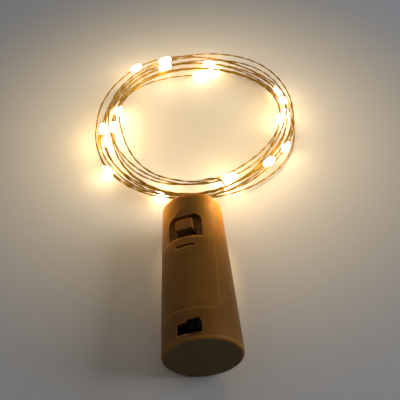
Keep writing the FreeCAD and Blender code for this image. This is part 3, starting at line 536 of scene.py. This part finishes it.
@dataclass(frozen=True)
class LitResin(Finish):
    """Clear epoxy drop with a lit chip inside: white at the chip, warm and dimmer at the tips.

    Places along the drop run from 0 at its middle to 1 at its tips.
    """

    middle: str = "#FFF4DC"
    middle_to: float = 0.72
    tip: str = "#FFC46A"
    strength: float = 6.0
    fades_from: float = 0.55
    tip_share: float = 0.12
    ripple_mm: float = 1.1
    ripple_depth_mm: float = 0.04
    clear: float = 0.35
    coat: float = 0.6
    ior: float = 1.52

    def make(self) -> Material:
        """Make the glowing resin.

        Returns:
            The material.
        """
        made, tree, shader = self.start()
        along = add_node(tree, "ShaderNodeAttribute", attribute_name=ALONG_DROP)
        ramp = add_node(tree, "ShaderNodeValToRGB", {"Fac": along.outputs["Fac"]})
        set_ramp(ramp, [(0.0, linear(self.middle)), (self.middle_to, linear(self.middle)),
                        (1.0, linear(self.tip))])
        tree.links.new(ramp.outputs["Color"], shader.inputs["Emission Color"])
        glow = add_node(tree, "ShaderNodeMapRange", {
            "Value": along.outputs["Fac"], "From Min": self.fades_from, "From Max": 1.0,
            "To Min": self.strength, "To Max": self.strength * self.tip_share})
        tree.links.new(glow.outputs["Result"], shader.inputs["Emission Strength"])
        ripple = add_node(tree, "ShaderNodeTexNoise", {
            "Vector": self.place(tree), "Scale": per_metre(self.ripple_mm), "Detail": 2.0})
        self.relief(tree, shader, ripple.outputs["Fac"], self.ripple_depth_mm)
        shader.inputs["Transmission Weight"].default_value = self.clear
        shader.inputs["IOR"].default_value = self.ior
        shader.inputs["Coat Weight"].default_value = self.coat
        return made


@dataclass
class LampString:
    """Twisted wire from the case to the coil, its twenty drops and the chips inside them."""

    # The wire.
    wire_diameter: float = 0.6 * MM
    strands: int = 2
    strand_radius: float = 0.145 * MM
    strand_offset: float = 0.15 * MM
    twist_pitch: float = 10.0 * MM
    sides: int = 6
    length: float = 1.930
    # The coil, in millimetres, degrees and turns, as in the part.
    turns: float = 9.5
    layers: int = 4
    layer_rise: float = 1.62
    centre: tuple[float, float] = (3.7, 68.9)
    coil_radius: float = 31.8
    band: float = 6.4
    start_angle: float = -100.0
    lowest: float = 1.25
    climb_turns: float = 0.5
    points_per_turn: int = 24
    # Part of a turn over which the coil's first direction is measured.
    first_step: float = 0.002
    # A quadratic spline, and the steps that it is read in between two control points.
    spline_order: int = 3
    spline_steps: int = 12
    middle_waves: tuple = ((1, 0.019, -0.041), (2, -0.019, 0.041), (3, 0.016, 0.006))
    band_waves: tuple = ((1, -0.156, 0.141), (2, -0.031, -0.109), (3, -0.031, -0.219))
    # The lead from the bush to the coil, in millimetres.
    lead_points: tuple = (
        (6.4, 28.0, 8.4), (10.6, 31.0, 8.7), (10.0, 34.0, 9.0),
        (7.4, 35.7, 8.7), (4.4, 36.2, 7.3))
    # Turns at each lamp, and the slack before it: outward, swing and upward, in millimetres.
    lamp_turns: tuple = (
        0.414, 0.928, 1.422, 1.858, 2.369, 2.808, 3.2, 3.692, 4.2, 4.739,
        5.258, 5.719, 6.175, 6.658, 7.119, 7.508, 8.031, 8.519, 8.925, 9.492)
    bows: tuple = (
        (-1.54, -1.18, 0.58), (0.93, 1.14, 0.37), (-1.53, -0.89, 0.52), (1.69, 1.19, 0.57),
        (1.66, 1.17, -0.48), (-1.69, -1.16, -0.02), (1.67, 1.14, 0.47), (-1.64, 1.16, 0.54),
        (1.59, -1.17, -0.48), (-1.58, 0.77, 0.55), (-1.48, -1.18, 0.52), (-1.69, 0.86, 0.57),
        (0.27, -0.96, -0.15), (1.65, -1.15, 0.54), (-1.22, -1.19, 0.57), (-1.54, -0.66, 0.53),
        (1.49, -1.19, -0.44), (1.7, 1.08, -0.48), (-1.64, 1.09, 0.59), (1.63, -1.05, 0.58))
    swing_share: float = 1.3
    # How far left, right and back the wire may reach, in millimetres.
    reach: tuple[float, float, float] = (-29.86, 37.8, 103.83)
    exit_point: tuple = (0.0, 23.454, 8.462)
    exit_way: tuple = (0.0, 0.99947, -0.03259)
    run: float = 3.6
    # The drops and their chips, and what is uneven in a drop that was set by hand.
    lamps: int = 20
    drop_length: float = 5.4 * MM
    drop_radius: float = 1.2 * MM
    drop_fullness: float = 2.6
    neck_width: float = 1.2
    neck_taper: float = 0.2
    drop_rings: int = 18
    drop_sides: int = 16
    flatness: tuple[float, float] = (0.9, 0.98)
    lean: float = 0.05
    # Body and phosphor of a chip: size and height off the wire in millimetres.
    chip_parts: tuple = (((0.5, 0.8, 1.6), 0.1), ((0.16, 0.6, 1.1), 0.4))
    chip_round: float = 0.05 * MM
    chip_segments: int = 2
    # The light over a drop, and how much of it shines beside the case, at the left and elsewhere.
    drop_power: float = 0.0019
    drop_light: str = "#FFE5B7"
    light_size: float = 1.5 * MM
    light_rise: float = 3.2 * MM
    near_case: float = 0.022
    left_of: float = -0.01
    power_shares: tuple[float, float, float] = (2.2, 1.6, 0.85)

    def wave(self, shares: tuple, angle: float) -> float:
        """Add up one set of waves round the loop, as a share of a radius."""
        return sum(c * math.cos(n * angle) + s * math.sin(n * angle) for n, c, s in shares)

    def coil_point(self, turn: float, swell: float = 1.0) -> Vector:
        """Give the middle of the wire after so many turns, from the coil's start at the top.

        Args:
            turn: Turns from the start.
            swell: Factor on the radius, over 1 for control points outside the line.

        Returns:
            The point in millimetres.
        """
        angle = math.radians(self.start_angle) - 2 * math.pi * turn
        in_layer = self.turns / self.layers
        layer = min(int(turn / in_layer), self.layers - 1)
        across = turn / in_layer - layer
        across = 1 - across if layer % 2 else across
        radius = (self.coil_radius * (1 + self.wave(self.middle_waves, angle))
                  + self.band * (1 + self.wave(self.band_waves, angle)) * (across - 0.5)) * swell
        height = self.lowest + self.layer_rise * (self.layers - 1)
        for passed in range(1, self.layers):
            # Each climb to the next layer down starts and ends smoothly.
            step = min(max((turn - passed * in_layer) / self.climb_turns + 0.5, 0), 1)
            height -= self.layer_rise * (3 * step ** 2 - 2 * step ** 3)
        outward, upward = self.bow(turn)
        radius += outward
        return Vector((self.centre[0] + radius * math.cos(angle),
                       self.centre[1] + radius * math.sin(angle), height + upward))

    def bow(self, turn: float) -> tuple[float, float]:
        """Give the slack of the wire between two lamps, which leaves the lamps where they are.

        Args:
            turn: Turns from the coil's start.

        Returns:
            Millimetres outward and upward.
        """
        ends = (0.0, *self.lamp_turns[:-1], self.turns)
        place = max(index for index, end in enumerate(ends[:-1]) if turn >= end)
        share = (turn - ends[place]) / (ends[place + 1] - ends[place])
        hump = math.sin(math.pi * share) ** 2
        outward, swing, upward = self.bows[place]
        sideways = outward + self.swing_share * swing * math.sin(2 * math.pi * share)
        return sideways * hump, upward * hump

    def route(self) -> list[Vector]:
        """List the control points of the whole string, in metres.

        Returns:
            The points, from the bush to the last lamp.
        """
        start = self.coil_point(0.0)
        way = (self.coil_point(self.first_step) - start).normalized()
        leaving = Vector(self.exit_point)
        points = [leaving, leaving + Vector(self.exit_way) * self.run]
        points += [Vector(point) for point in self.lead_points]
        points.append(start - way * self.run)
        # A quadratic spline runs inside its control points, by this factor on the coil's turns.
        swell = 1 / (0.75 + 0.25 * math.cos(2 * math.pi / self.points_per_turn))
        count = round(self.turns * self.points_per_turn)
        left, right, far = self.reach
        for step in range(count + 1):
            point = self.coil_point(self.turns * step / count, swell if 0 < step < count else 1.0)
            points.append(Vector((min(max(point.x, left), right), min(point.y, far), point.z)))
        return [point * MM for point in points]

    def smooth_line(self) -> list[Vector]:
        """Read the smooth line of the string's spline.

        Returns:
            Points along the line, in metres.
        """
        points = self.route()
        data = bpy.data.curves.new("string_route", "CURVE")
        data.dimensions = "3D"
        spline = data.splines.new("NURBS")
        spline.points.add(len(points) - 1)
        for place, point in zip(spline.points, points):
            place.co = (*point, 1.0)
        spline.order_u = self.spline_order
        spline.use_endpoint_u = True
        spline.resolution_u = self.spline_steps
        helper = bpy.data.objects.new("string_route", data)
        bpy.context.scene.collection.objects.link(helper)
        bpy.context.view_layer.update()
        mesh = bpy.data.meshes.new_from_object(helper)
        line = [vertex.co.copy() for vertex in mesh.vertices]
        bpy.data.objects.remove(helper)
        bpy.data.meshes.remove(mesh)
        bpy.data.curves.remove(data)
        return line

    def frames(self, line: list[Vector]) -> list[tuple[Vector, Vector, Vector, float]]:
        """Carry a pair of side directions along the line without twist.

        Args:
            line: Points of the line.

        Returns:
            For each point its tangent, two sides and the length so far.
        """
        made = []
        run = 0.0
        side = Vector((0, 0, 1))
        for index, point in enumerate(line):
            before = line[max(index - 1, 0)]
            tangent = (line[min(index + 1, len(line) - 1)] - before).normalized()
            side = (side - tangent * side.dot(tangent)).normalized()
            run += (point - before).length
            made.append((tangent, side, tangent.cross(side), run))
        return made

    def build_wire(self, line: list[Vector],
                   frames: list[tuple[Vector, Vector, Vector, float]]) -> Object:
        """Twist the enamelled strands round the line.

        Args:
            line: Points of the string's middle line.
            frames: Tangent, sides and length so far at each point.

        Returns:
            The wire.
        """
        mesh = bmesh.new()
        angles = [2 * math.pi * step / self.sides for step in range(self.sides)]
        for strand in range(self.strands):
            rings = []
            for point, (_, side, other, run) in zip(line, frames):
                turn = 2 * math.pi * (run / self.twist_pitch + strand / self.strands)
                middle = point + (side * math.cos(turn) + other * math.sin(turn)) * self.strand_offset
                rings.append([
                    mesh.verts.new(
                        middle + (side * math.cos(angle) + other * math.sin(angle)) * self.strand_radius)
                    for angle in angles])
            join_rings(mesh, rings)
        return object_from("string_wire", mesh)

    def drop_radius_at(self, share: float) -> float:
        """Radius of a drop from its middle, 0, to its tip, 1, drawn out to the wire at the tip."""
        body = self.drop_radius * math.sqrt(1 - share ** self.drop_fullness)
        return max(body, self.strand_radius * 2 * (self.neck_width - share * self.neck_taper))

    def build_drop(self, name: str, middle: Vector, tangent: Vector, seed: int) -> Object:
        """Set one resin drop round the wire.

        Args:
            name: Name of the drop.
            middle: Its middle on the wire.
            tangent: Direction of the wire.
            seed: Number that gives its small unevenness.

        Returns:
            The drop.
        """
        uneven = random.Random(seed)
        flat = uneven.uniform(*self.flatness)
        lean = uneven.uniform(-self.lean, self.lean)
        turn = tangent.to_track_quat("Z", "Y").to_matrix().to_4x4()
        mesh = bmesh.new()
        along = mesh.verts.layers.float.new(ALONG_DROP)
        rings = []
        for step in range(self.drop_rings + 1):
            share = math.sin(math.pi * (step / self.drop_rings - 0.5))
            radius = self.drop_radius_at(abs(share)) * (1 + lean * share)
            ring = []
            for index in range(self.drop_sides):
                angle = 2 * math.pi * index / self.drop_sides
                local = Vector((radius * math.cos(angle), radius * flat * math.sin(angle),
                                share * self.drop_length / 2))
                vertex = mesh.verts.new(turn @ local + middle)
                vertex[along] = abs(share)
                ring.append(vertex)
            rings.append(ring)
        join_rings(mesh, rings)
        return object_from(name, mesh)

    def build_chips(self, places: list[tuple[Vector, Vector]]) -> Object:
        """Set a bevelled chip with a phosphor pad into every drop.

        Args:
            places: Middle and direction of each drop.

        Returns:
            All the chips as one piece.
        """
        mesh = bmesh.new()
        for middle, tangent in places:
            turn = Matrix.Translation(middle) @ tangent.to_track_quat("Z", "Y").to_matrix().to_4x4()
            for slot, (size, lift) in enumerate(self.chip_parts):
                scale = Matrix.Diagonal((*(side * MM for side in size), 1.0))
                made = bmesh.ops.create_cube(
                    mesh, size=1.0, matrix=turn @ Matrix.Translation((lift * MM, 0, 0)) @ scale)
                edges = list({edge for corner in made["verts"] for edge in corner.link_edges})
                rest = set(mesh.faces) - {face for corner in made["verts"] for face in corner.link_faces}
                bmesh.ops.bevel(mesh, geom=edges, offset=self.chip_round, segments=self.chip_segments,
                                profile=ROUND, affect="EDGES")
                for face in set(mesh.faces) - rest:
                    face.material_index = slot
        return object_from("lamp_chips", mesh, smooth=False)

    def build(self) -> None:
        line = self.smooth_line()
        frames = self.frames(line)
        # Drawn copper under clear enamel: golden metal, browner in patches.
        copper = LacqueredCopper("lacquered_copper_wire", "#E6AE2C", 0.34, 1.0).make()
        # Epoxy set round the chip: glossy, white with light, warmer at the tips.
        resin = LitResin("lit_epoxy_drop", "#FFF3DC", 0.08).make()
        # Fired alumina: white and matt.
        ceramic = FineMattSurface("white_ceramic_chip", "#E9E2D2", 0.5).make()
        # Phosphor in silicone over the chip: the brightest and yellowest spot.
        phosphor = LitResin("lit_phosphor", "#FFD27A", 0.4, strength=8.0).make()

        wire = self.build_wire(line, frames)
        dress(wire, copper)
        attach(wire, "case")
        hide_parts("wire_lead", "wire_coil")

        places = []
        for number in range(1, self.lamps + 1):
            node = "led_bead_%02d" % number
            low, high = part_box(node)
            wanted = (low + high) / 2
            index = min(range(len(line)), key=lambda place: (line[place] - wanted).length_squared)
            tangent = frames[index][0]
            middle = line[index] + tangent * (wanted - line[index]).dot(tangent)
            drop = self.build_drop("drop_%02d" % number, middle, tangent, number)
            dress(drop, resin)
            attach(drop, "case")
            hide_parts(node)
            places.append((middle, tangent))
        chips = self.build_chips(places)
        dress(chips, ceramic, phosphor)
        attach(chips, "case")
        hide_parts("led_chips")
        self.light_drops(places)

    def power_share(self, middle: Vector) -> float:
        """Give a drop's share of the light power.

        Args:
            middle: Middle of the drop.

        Returns:
            The share beside the case, at the coil's left or elsewhere.
        """
        beside_case, at_left, elsewhere = self.power_shares
        if (middle - Vector(self.exit_point) * MM).length < self.near_case:
            return beside_case
        return at_left if middle.x < self.left_of else elsewhere

    def light_drops(self, places: list[tuple[Vector, Vector]]) -> None:
        """Hang a small warm light just over every drop, for the glow round it.

        Args:
            places: Middle and direction of each drop.
        """
        for number, (middle, _) in enumerate(places, start=1):
            data = bpy.data.lights.new("drop_light_%02d" % number, "POINT")
            data.energy = self.drop_power * self.power_share(middle)
            data.color = linear(self.drop_light)[:3]
            data.shadow_soft_size = self.light_size
            light = bpy.data.objects.new(data.name, data)
            light.location = middle + Vector((0, 0, self.light_rise))
            light.visible_camera = False
            light.visible_glossy = False
            bpy.context.scene.collection.objects.link(light)


@dataclass
class FrameNodes:
    """A sub-assembly made of the frame's own nodes, by their names."""

    nodes: dict[str, Object]

    def put(self, finish: Material, *names: str) -> None:
        """Put one finish on some of the nodes.

        Args:
            finish: Material for them.
            *names: Names of the nodes.
        """
        for name in names:
            dress(self.nodes[name], finish)
        LOG.info("%s: %s", finish.name, ", ".join(names))


@dataclass
class Shell(FrameNodes):
    """Moulded case: housing, end disc and the soft bush that grips the wire."""

    def build(self) -> None:
        """Dress the case's nodes."""
        # Polypropylene from a spark-eroded tool: waxy and matt, with a painted glow beside the lamps,
        # painted highlights on its edges and rim, and painted shade at its wide end.
        cork = MouldedCorkPlastic("moulded_cork_housing", "#62400C", 0.4, specular=0.12,
                                  rim_edge_highlight=0.4).make()
        # The disc is the same moulding with a coarser tool grain: a plain, dull round, painted darker as
        # the shade that falls on the end face.
        shaded_disc = MouldedCorkPlastic("shaded_cork_end_disc", "#55431F", 0.5, specular=0.12, dark="#493919",
                                  edge="#55431F", end_shade="#4E3D1C", grain_mm=0.3).make()
        # Soft moulded vinyl, undyed: milky and matt.
        bush = FineMattSurface("pale_flexible_pvc", "#B7A88C", 0.45).make()
        self.put(cork, "housing")
        self.put(shaded_disc, "end_cap")
        self.put(bush, "wire_bush")


@dataclass
class CoverAndLatch(FrameNodes):
    """Battery cover and its springy latch, whose edges are rounded for the thumb."""

    round_radius: float = 0.28 * MM
    round_segments: int = 3
    corner_radius: float = 0.75 * MM
    corner_segments: int = 6
    pad_end: float = 0.1 * MM
    sharp_angle: float = math.radians(35)
    flat_angle: float = math.radians(2)
    upright: float = 0.9
    weld: float = 0.005 * MM

    def build(self) -> None:
        """Dress the cover and put the rounded latch in the plain one's place."""
        # The same polypropylene, farther from the lamps: it gets no painted glow and no painted shade at
        # its end.
        cork = MouldedCorkPlastic("moulded_cork_cover", "#62400C", 0.4, specular=0.12,
                                  end_shade="#62400C", painted_glow_strength=0.0).make()
        self.put(cork, "battery_cover", "cover_latch")
        source = self.nodes["cover_latch"]
        mesh = bmesh.new()
        mesh.from_mesh(source.data)
        mesh.transform(source.matrix_world)
        bmesh.ops.remove_doubles(mesh, verts=mesh.verts, dist=self.weld)
        bmesh.ops.dissolve_limit(mesh, angle_limit=self.flat_angle, verts=mesh.verts, edges=mesh.edges)
        for face in mesh.faces:
            face.smooth = False
        # The two upright corners at the pad's free end are the roundest.
        free_end = max(vertex.co.y for vertex in mesh.verts) - self.pad_end
        corners = [edge for edge in mesh.edges if all(end.co.y > free_end for end in edge.verts)
                   and abs((edge.verts[0].co - edge.verts[1].co).normalized().z) > self.upright]
        turned = bmesh.ops.bevel(mesh, geom=corners, offset=self.corner_radius,
                                 segments=self.corner_segments, profile=ROUND, affect="EDGES",
                                 clamp_overlap=True)
        for face in turned["faces"]:
            face.smooth = True
        edges = [edge for edge in mesh.edges if len(edge.link_faces) == 2 and edge.is_convex
                 and edge.calc_face_angle() > self.sharp_angle]
        rounded = bmesh.ops.bevel(mesh, geom=edges, offset=self.round_radius,
                                  segments=self.round_segments, profile=ROUND, affect="EDGES",
                                  clamp_overlap=True)
        for face in rounded["faces"]:
            face.smooth = True
        bmesh.ops.remove_doubles(mesh, verts=mesh.verts, dist=self.weld)
        latch = object_from("rounded_latch", mesh, smooth=None)
        dress(latch, cork)
        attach(latch, "latch")
        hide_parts("cover_latch")
        LOG.info("latch: %d corners and %d edges rounded", len(corners), len(edges))


@dataclass
class CellStack(FrameNodes):
    """Three button cells with the sheet contacts at both ends."""

    def build(self) -> None:
        """Dress the cells and their contacts."""
        # Deep-drawn steel cups, nickel plated: bright, with faint rings round the axis.
        steel = DrawnMetal("nickel_plated_cell_steel", "#C9C8C2", 0.24, 1.0,
                           way=Way.RINGS_ROUND_CASE).make()
        # Moulded nylon ring: dark and dull between the two bright cups.
        seal = FineMattSurface("dark_nylon_seal", "#1A1A1C", 0.5).make()
        # Rolled phosphor bronze, tin plated: a warm grey with rolling lines.
        bronze = DrawnMetal("plated_spring_bronze", "#C9BC96", 0.3, 1.0, tarnish="#93855C").make()
        for number in (1, 2, 3):
            self.put(steel, "cell_%d_can" % number, "cell_%d_cap" % number)
            self.put(seal, "cell_%d_seal" % number)
        self.put(bronze, "positive_contact", "negative_contact", "negative_spring")


@dataclass
class SlideSwitch(FrameNodes):
    """Slide switch on its small board, with the two leads to the wire."""

    def build(self) -> None:
        """Dress the switch, the board and the leads."""
        # Black ABS with a matt tool grain: hardly any highlight.
        knob = FineMattSurface("black_moulded_abs", "#050201", 0.55, specular=0.03).make()
        # Stamped steel coloured near black: dark metal standing in for the shade in the slot, which it
        # closes to the eye.
        shaded_sheet = DrawnMetal("shaded_switch_sheet", "#2A2A2C", 0.4, 1.0, tarnish="#19191A").make()
        # Stamped brass finger and pins, tin plated.
        pins = DrawnMetal("tinned_brass_pins", "#C4BFA8", 0.3, 1.0, tarnish="#8F8868").make()
        # Paper laminate soaked in phenolic resin: brown and dull.
        base = FineMattSurface("brown_phenolic_laminate", "#5A3418", 0.55).make()
        # Green lacquer over etched copper: glossy, with the tracks just showing.
        board = SolderMask("green_lacquered_board", "#1C5A2E", 0.3).make()
        # Glazed resistor body.
        chip = FineMattSurface("black_chip_resistor", "#101012", 0.45).make()
        # Extruded vinyl insulation: smooth and a little glossy.
        red = FineMattSurface("red_pvc_insulation", "#8E1712", 0.4).make()
        black = FineMattSurface("black_pvc_insulation", "#151515", 0.4).make()
        self.put(knob, "switch_knob")
        self.put(shaded_sheet, "switch_frame")
        self.put(pins, "switch_finger", "switch_pins")
        self.put(base, "switch_base")
        self.put(board, "circuit_board")
        self.put(chip, "resistor")
        self.put(red, "switched_lead")
        self.put(black, "return_lead")


class LampShape(Enum):
    """Outline of a soft lamp."""

    SQUARE = "SQUARE"
    ROUND = "DISK"


@dataclass(frozen=True)
class SoftLamp:
    """A soft lamp over the table. Glossy surfaces show it only if it is mirrored."""

    name: str
    place: tuple[float, float, float]
    target: tuple[float, float, float]
    size: float
    power: float
    colour: str
    shape: LampShape = LampShape.SQUARE
    spread: float = math.radians(180)
    mirrored: bool = True

    def hang(self) -> None:
        """Put the lamp into the scene."""
        data = bpy.data.lights.new(self.name, "AREA")
        data.shape = self.shape.value
        data.size = self.size
        data.energy = self.power
        data.color = linear(self.colour)[:3]
        data.spread = self.spread
        lamp = bpy.data.objects.new(self.name, data)
        lamp.location = self.place
        lamp.rotation_mode = "QUATERNION"
        lamp.rotation_quaternion = (Vector(self.target) - Vector(self.place)).to_track_quat("-Z", "Y")
        lamp.visible_camera = False
        lamp.visible_glossy = self.mirrored
        bpy.context.scene.collection.objects.link(lamp)
        LOG.info("lamp %s: %.4f W", self.name, self.power)


@dataclass
class Studio:
    """Camera, table, lamps and world."""

    camera_place: tuple[float, float, float] = (-0.004888, -0.084369, 0.139669)
    yaw: float = 0.067001
    pitch: float = 0.864755
    lens: float = 52.78
    sensor_width: float = 36.0
    nearest: float = 0.01
    coil_middle: tuple[float, float] = (0.0037, 0.0689)
    table_half: float = 3.0
    table_cells: int = 8
    painted_pool_reach: float = 0.14
    # The table's colour from the coil's middle outward: a painted pool of the lamps' warm light round the
    # coil.
    painted_pool_tones: tuple = ((0.0, "#D6C7A6"), (0.25, "#E8DDC6"), (0.45, "#C6BAA4"), (0.68, "#989692"),
                          (1.0, "#9198A0"))
    world_level: float = 0.18
    backdrop: str = "#8E9094"
    lamps: tuple[SoftLamp, ...] = (
        SoftLamp("key", (0.68, 0.02, 0.4), (0.0, 0.02, 0.0), 0.4, 4.2, "#F2F5FF"),
        SoftLamp("fill", (-0.45, 0.15, 0.6), (0.0, 0.0, 0.0), 0.6, 0.6, "#E8ECFF"),
        # The string's own light from above the coil, and on both shoulders of the small end.
        SoftLamp("lamp_glow", (0.0037, 0.0689, 0.085), (0.0037, 0.0689, 0.0), 0.07, 0.03, "#FFE5B7",
                 shape=LampShape.ROUND, mirrored=False),
        SoftLamp("end_glow_right", (0.016, 0.03, 0.016), (0.006, 0.017, 0.012), 0.004, 0.0065, "#FFE0A0",
                 spread=math.radians(70), mirrored=False),
        SoftLamp("end_glow_left", (-0.016, 0.03, 0.014), (-0.006, 0.017, 0.011), 0.004, 0.003, "#FFE0A0",
                 spread=math.radians(70), mirrored=False))

    def aim_camera(self) -> None:
        """Put the camera where the photograph was taken from."""
        data = bpy.data.cameras.new("photo_camera")
        data.lens = self.lens
        data.sensor_width = self.sensor_width
        data.clip_start = self.nearest
        camera = bpy.data.objects.new("photo_camera", data)
        forward = Vector((math.sin(self.yaw) * math.cos(self.pitch),
                          math.cos(self.yaw) * math.cos(self.pitch), -math.sin(self.pitch)))
        camera.location = self.camera_place
        camera.rotation_mode = "QUATERNION"
        camera.rotation_quaternion = forward.to_track_quat("-Z", "Y")
        bpy.context.scene.collection.objects.link(camera)
        bpy.context.scene.camera = camera

    def build_table(self) -> None:
        """Lay a pale, slightly glossy tabletop with a painted pool of the lamps' warm light round the
        coil.
        """
        mesh = bmesh.new()
        bmesh.ops.create_grid(mesh, x_segments=self.table_cells, y_segments=self.table_cells,
                              size=self.table_half)
        table = object_from("tabletop", mesh)
        # Pressed melamine laminate: smooth, pale and only faintly glossy.
        made, tree, shader = Finish("pale_laminate_tabletop", "#A6A8AC", 0.42, specular=0.18).start()
        shape = add_node(tree, "ShaderNodeNewGeometry")
        away = add_node(tree, "ShaderNodeVectorMath", {
            0: shape.outputs["Position"], 1: (*self.coil_middle, 0.0)}, operation="DISTANCE")
        # Painted pool of the lamps' light, strongest round the coil.
        painted_pool = add_node(tree, "ShaderNodeMapRange", {
            "Value": away.outputs["Value"], "From Max": self.painted_pool_reach})
        ramp = add_node(tree, "ShaderNodeValToRGB", {"Fac": painted_pool.outputs["Result"]})
        set_ramp(ramp, [(place, linear(tone)) for place, tone in self.painted_pool_tones])
        # A smooth curve through the stops leaves no ring on the table.
        ramp.color_ramp.interpolation = "B_SPLINE"
        tree.links.new(ramp.outputs["Color"], shader.inputs["Base Color"])
        dress(table, made)

    def build_world(self) -> None:
        """Fill the shadows with a dim grey, and show a paler one to the camera and to reflections."""
        world = bpy.data.worlds.new("studio")
        world.use_nodes = True
        tree = world.node_tree
        path = add_node(tree, "ShaderNodeLightPath")
        mirrored = add_node(tree, "ShaderNodeMath", {
            0: path.outputs["Is Glossy Ray"], 1: path.outputs["Is Transmission Ray"]}, operation="MAXIMUM")
        shown = add_node(tree, "ShaderNodeMath", {
            0: path.outputs["Is Camera Ray"], 1: mirrored.outputs["Value"]}, operation="MAXIMUM")
        seen = add_node(tree, "ShaderNodeMix", {
            "Factor": shown.outputs["Value"], MIX_A: grey(self.world_level), MIX_B: linear(self.backdrop)},
            data_type="RGBA")
        tree.links.new(seen.outputs[MIXED], tree.nodes["Background"].inputs["Color"])
        bpy.context.scene.world = world

    def build(self) -> None:
        """Set the stage."""
        self.build_table()
        for lamp in self.lamps:
            lamp.hang()
        self.build_world()
        bpy.context.scene.view_settings.view_transform = "Standard"
        LOG.info("studio: table, %d soft lamps and world", len(self.lamps))


def main() -> None:
    """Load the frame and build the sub-assemblies in order."""
    logging.basicConfig(level=logging.INFO, format="%(name)s: %(message)s")
    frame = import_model()
    studio = Studio()
    studio.aim_camera()
    LampString().build()
    nodes = frame["nodes"]
    Shell(nodes).build()
    CoverAndLatch(nodes).build()
    CellStack(nodes).build()
    SlideSwitch(nodes).build()
    studio.build()


if __name__ == "__main__":
    main()
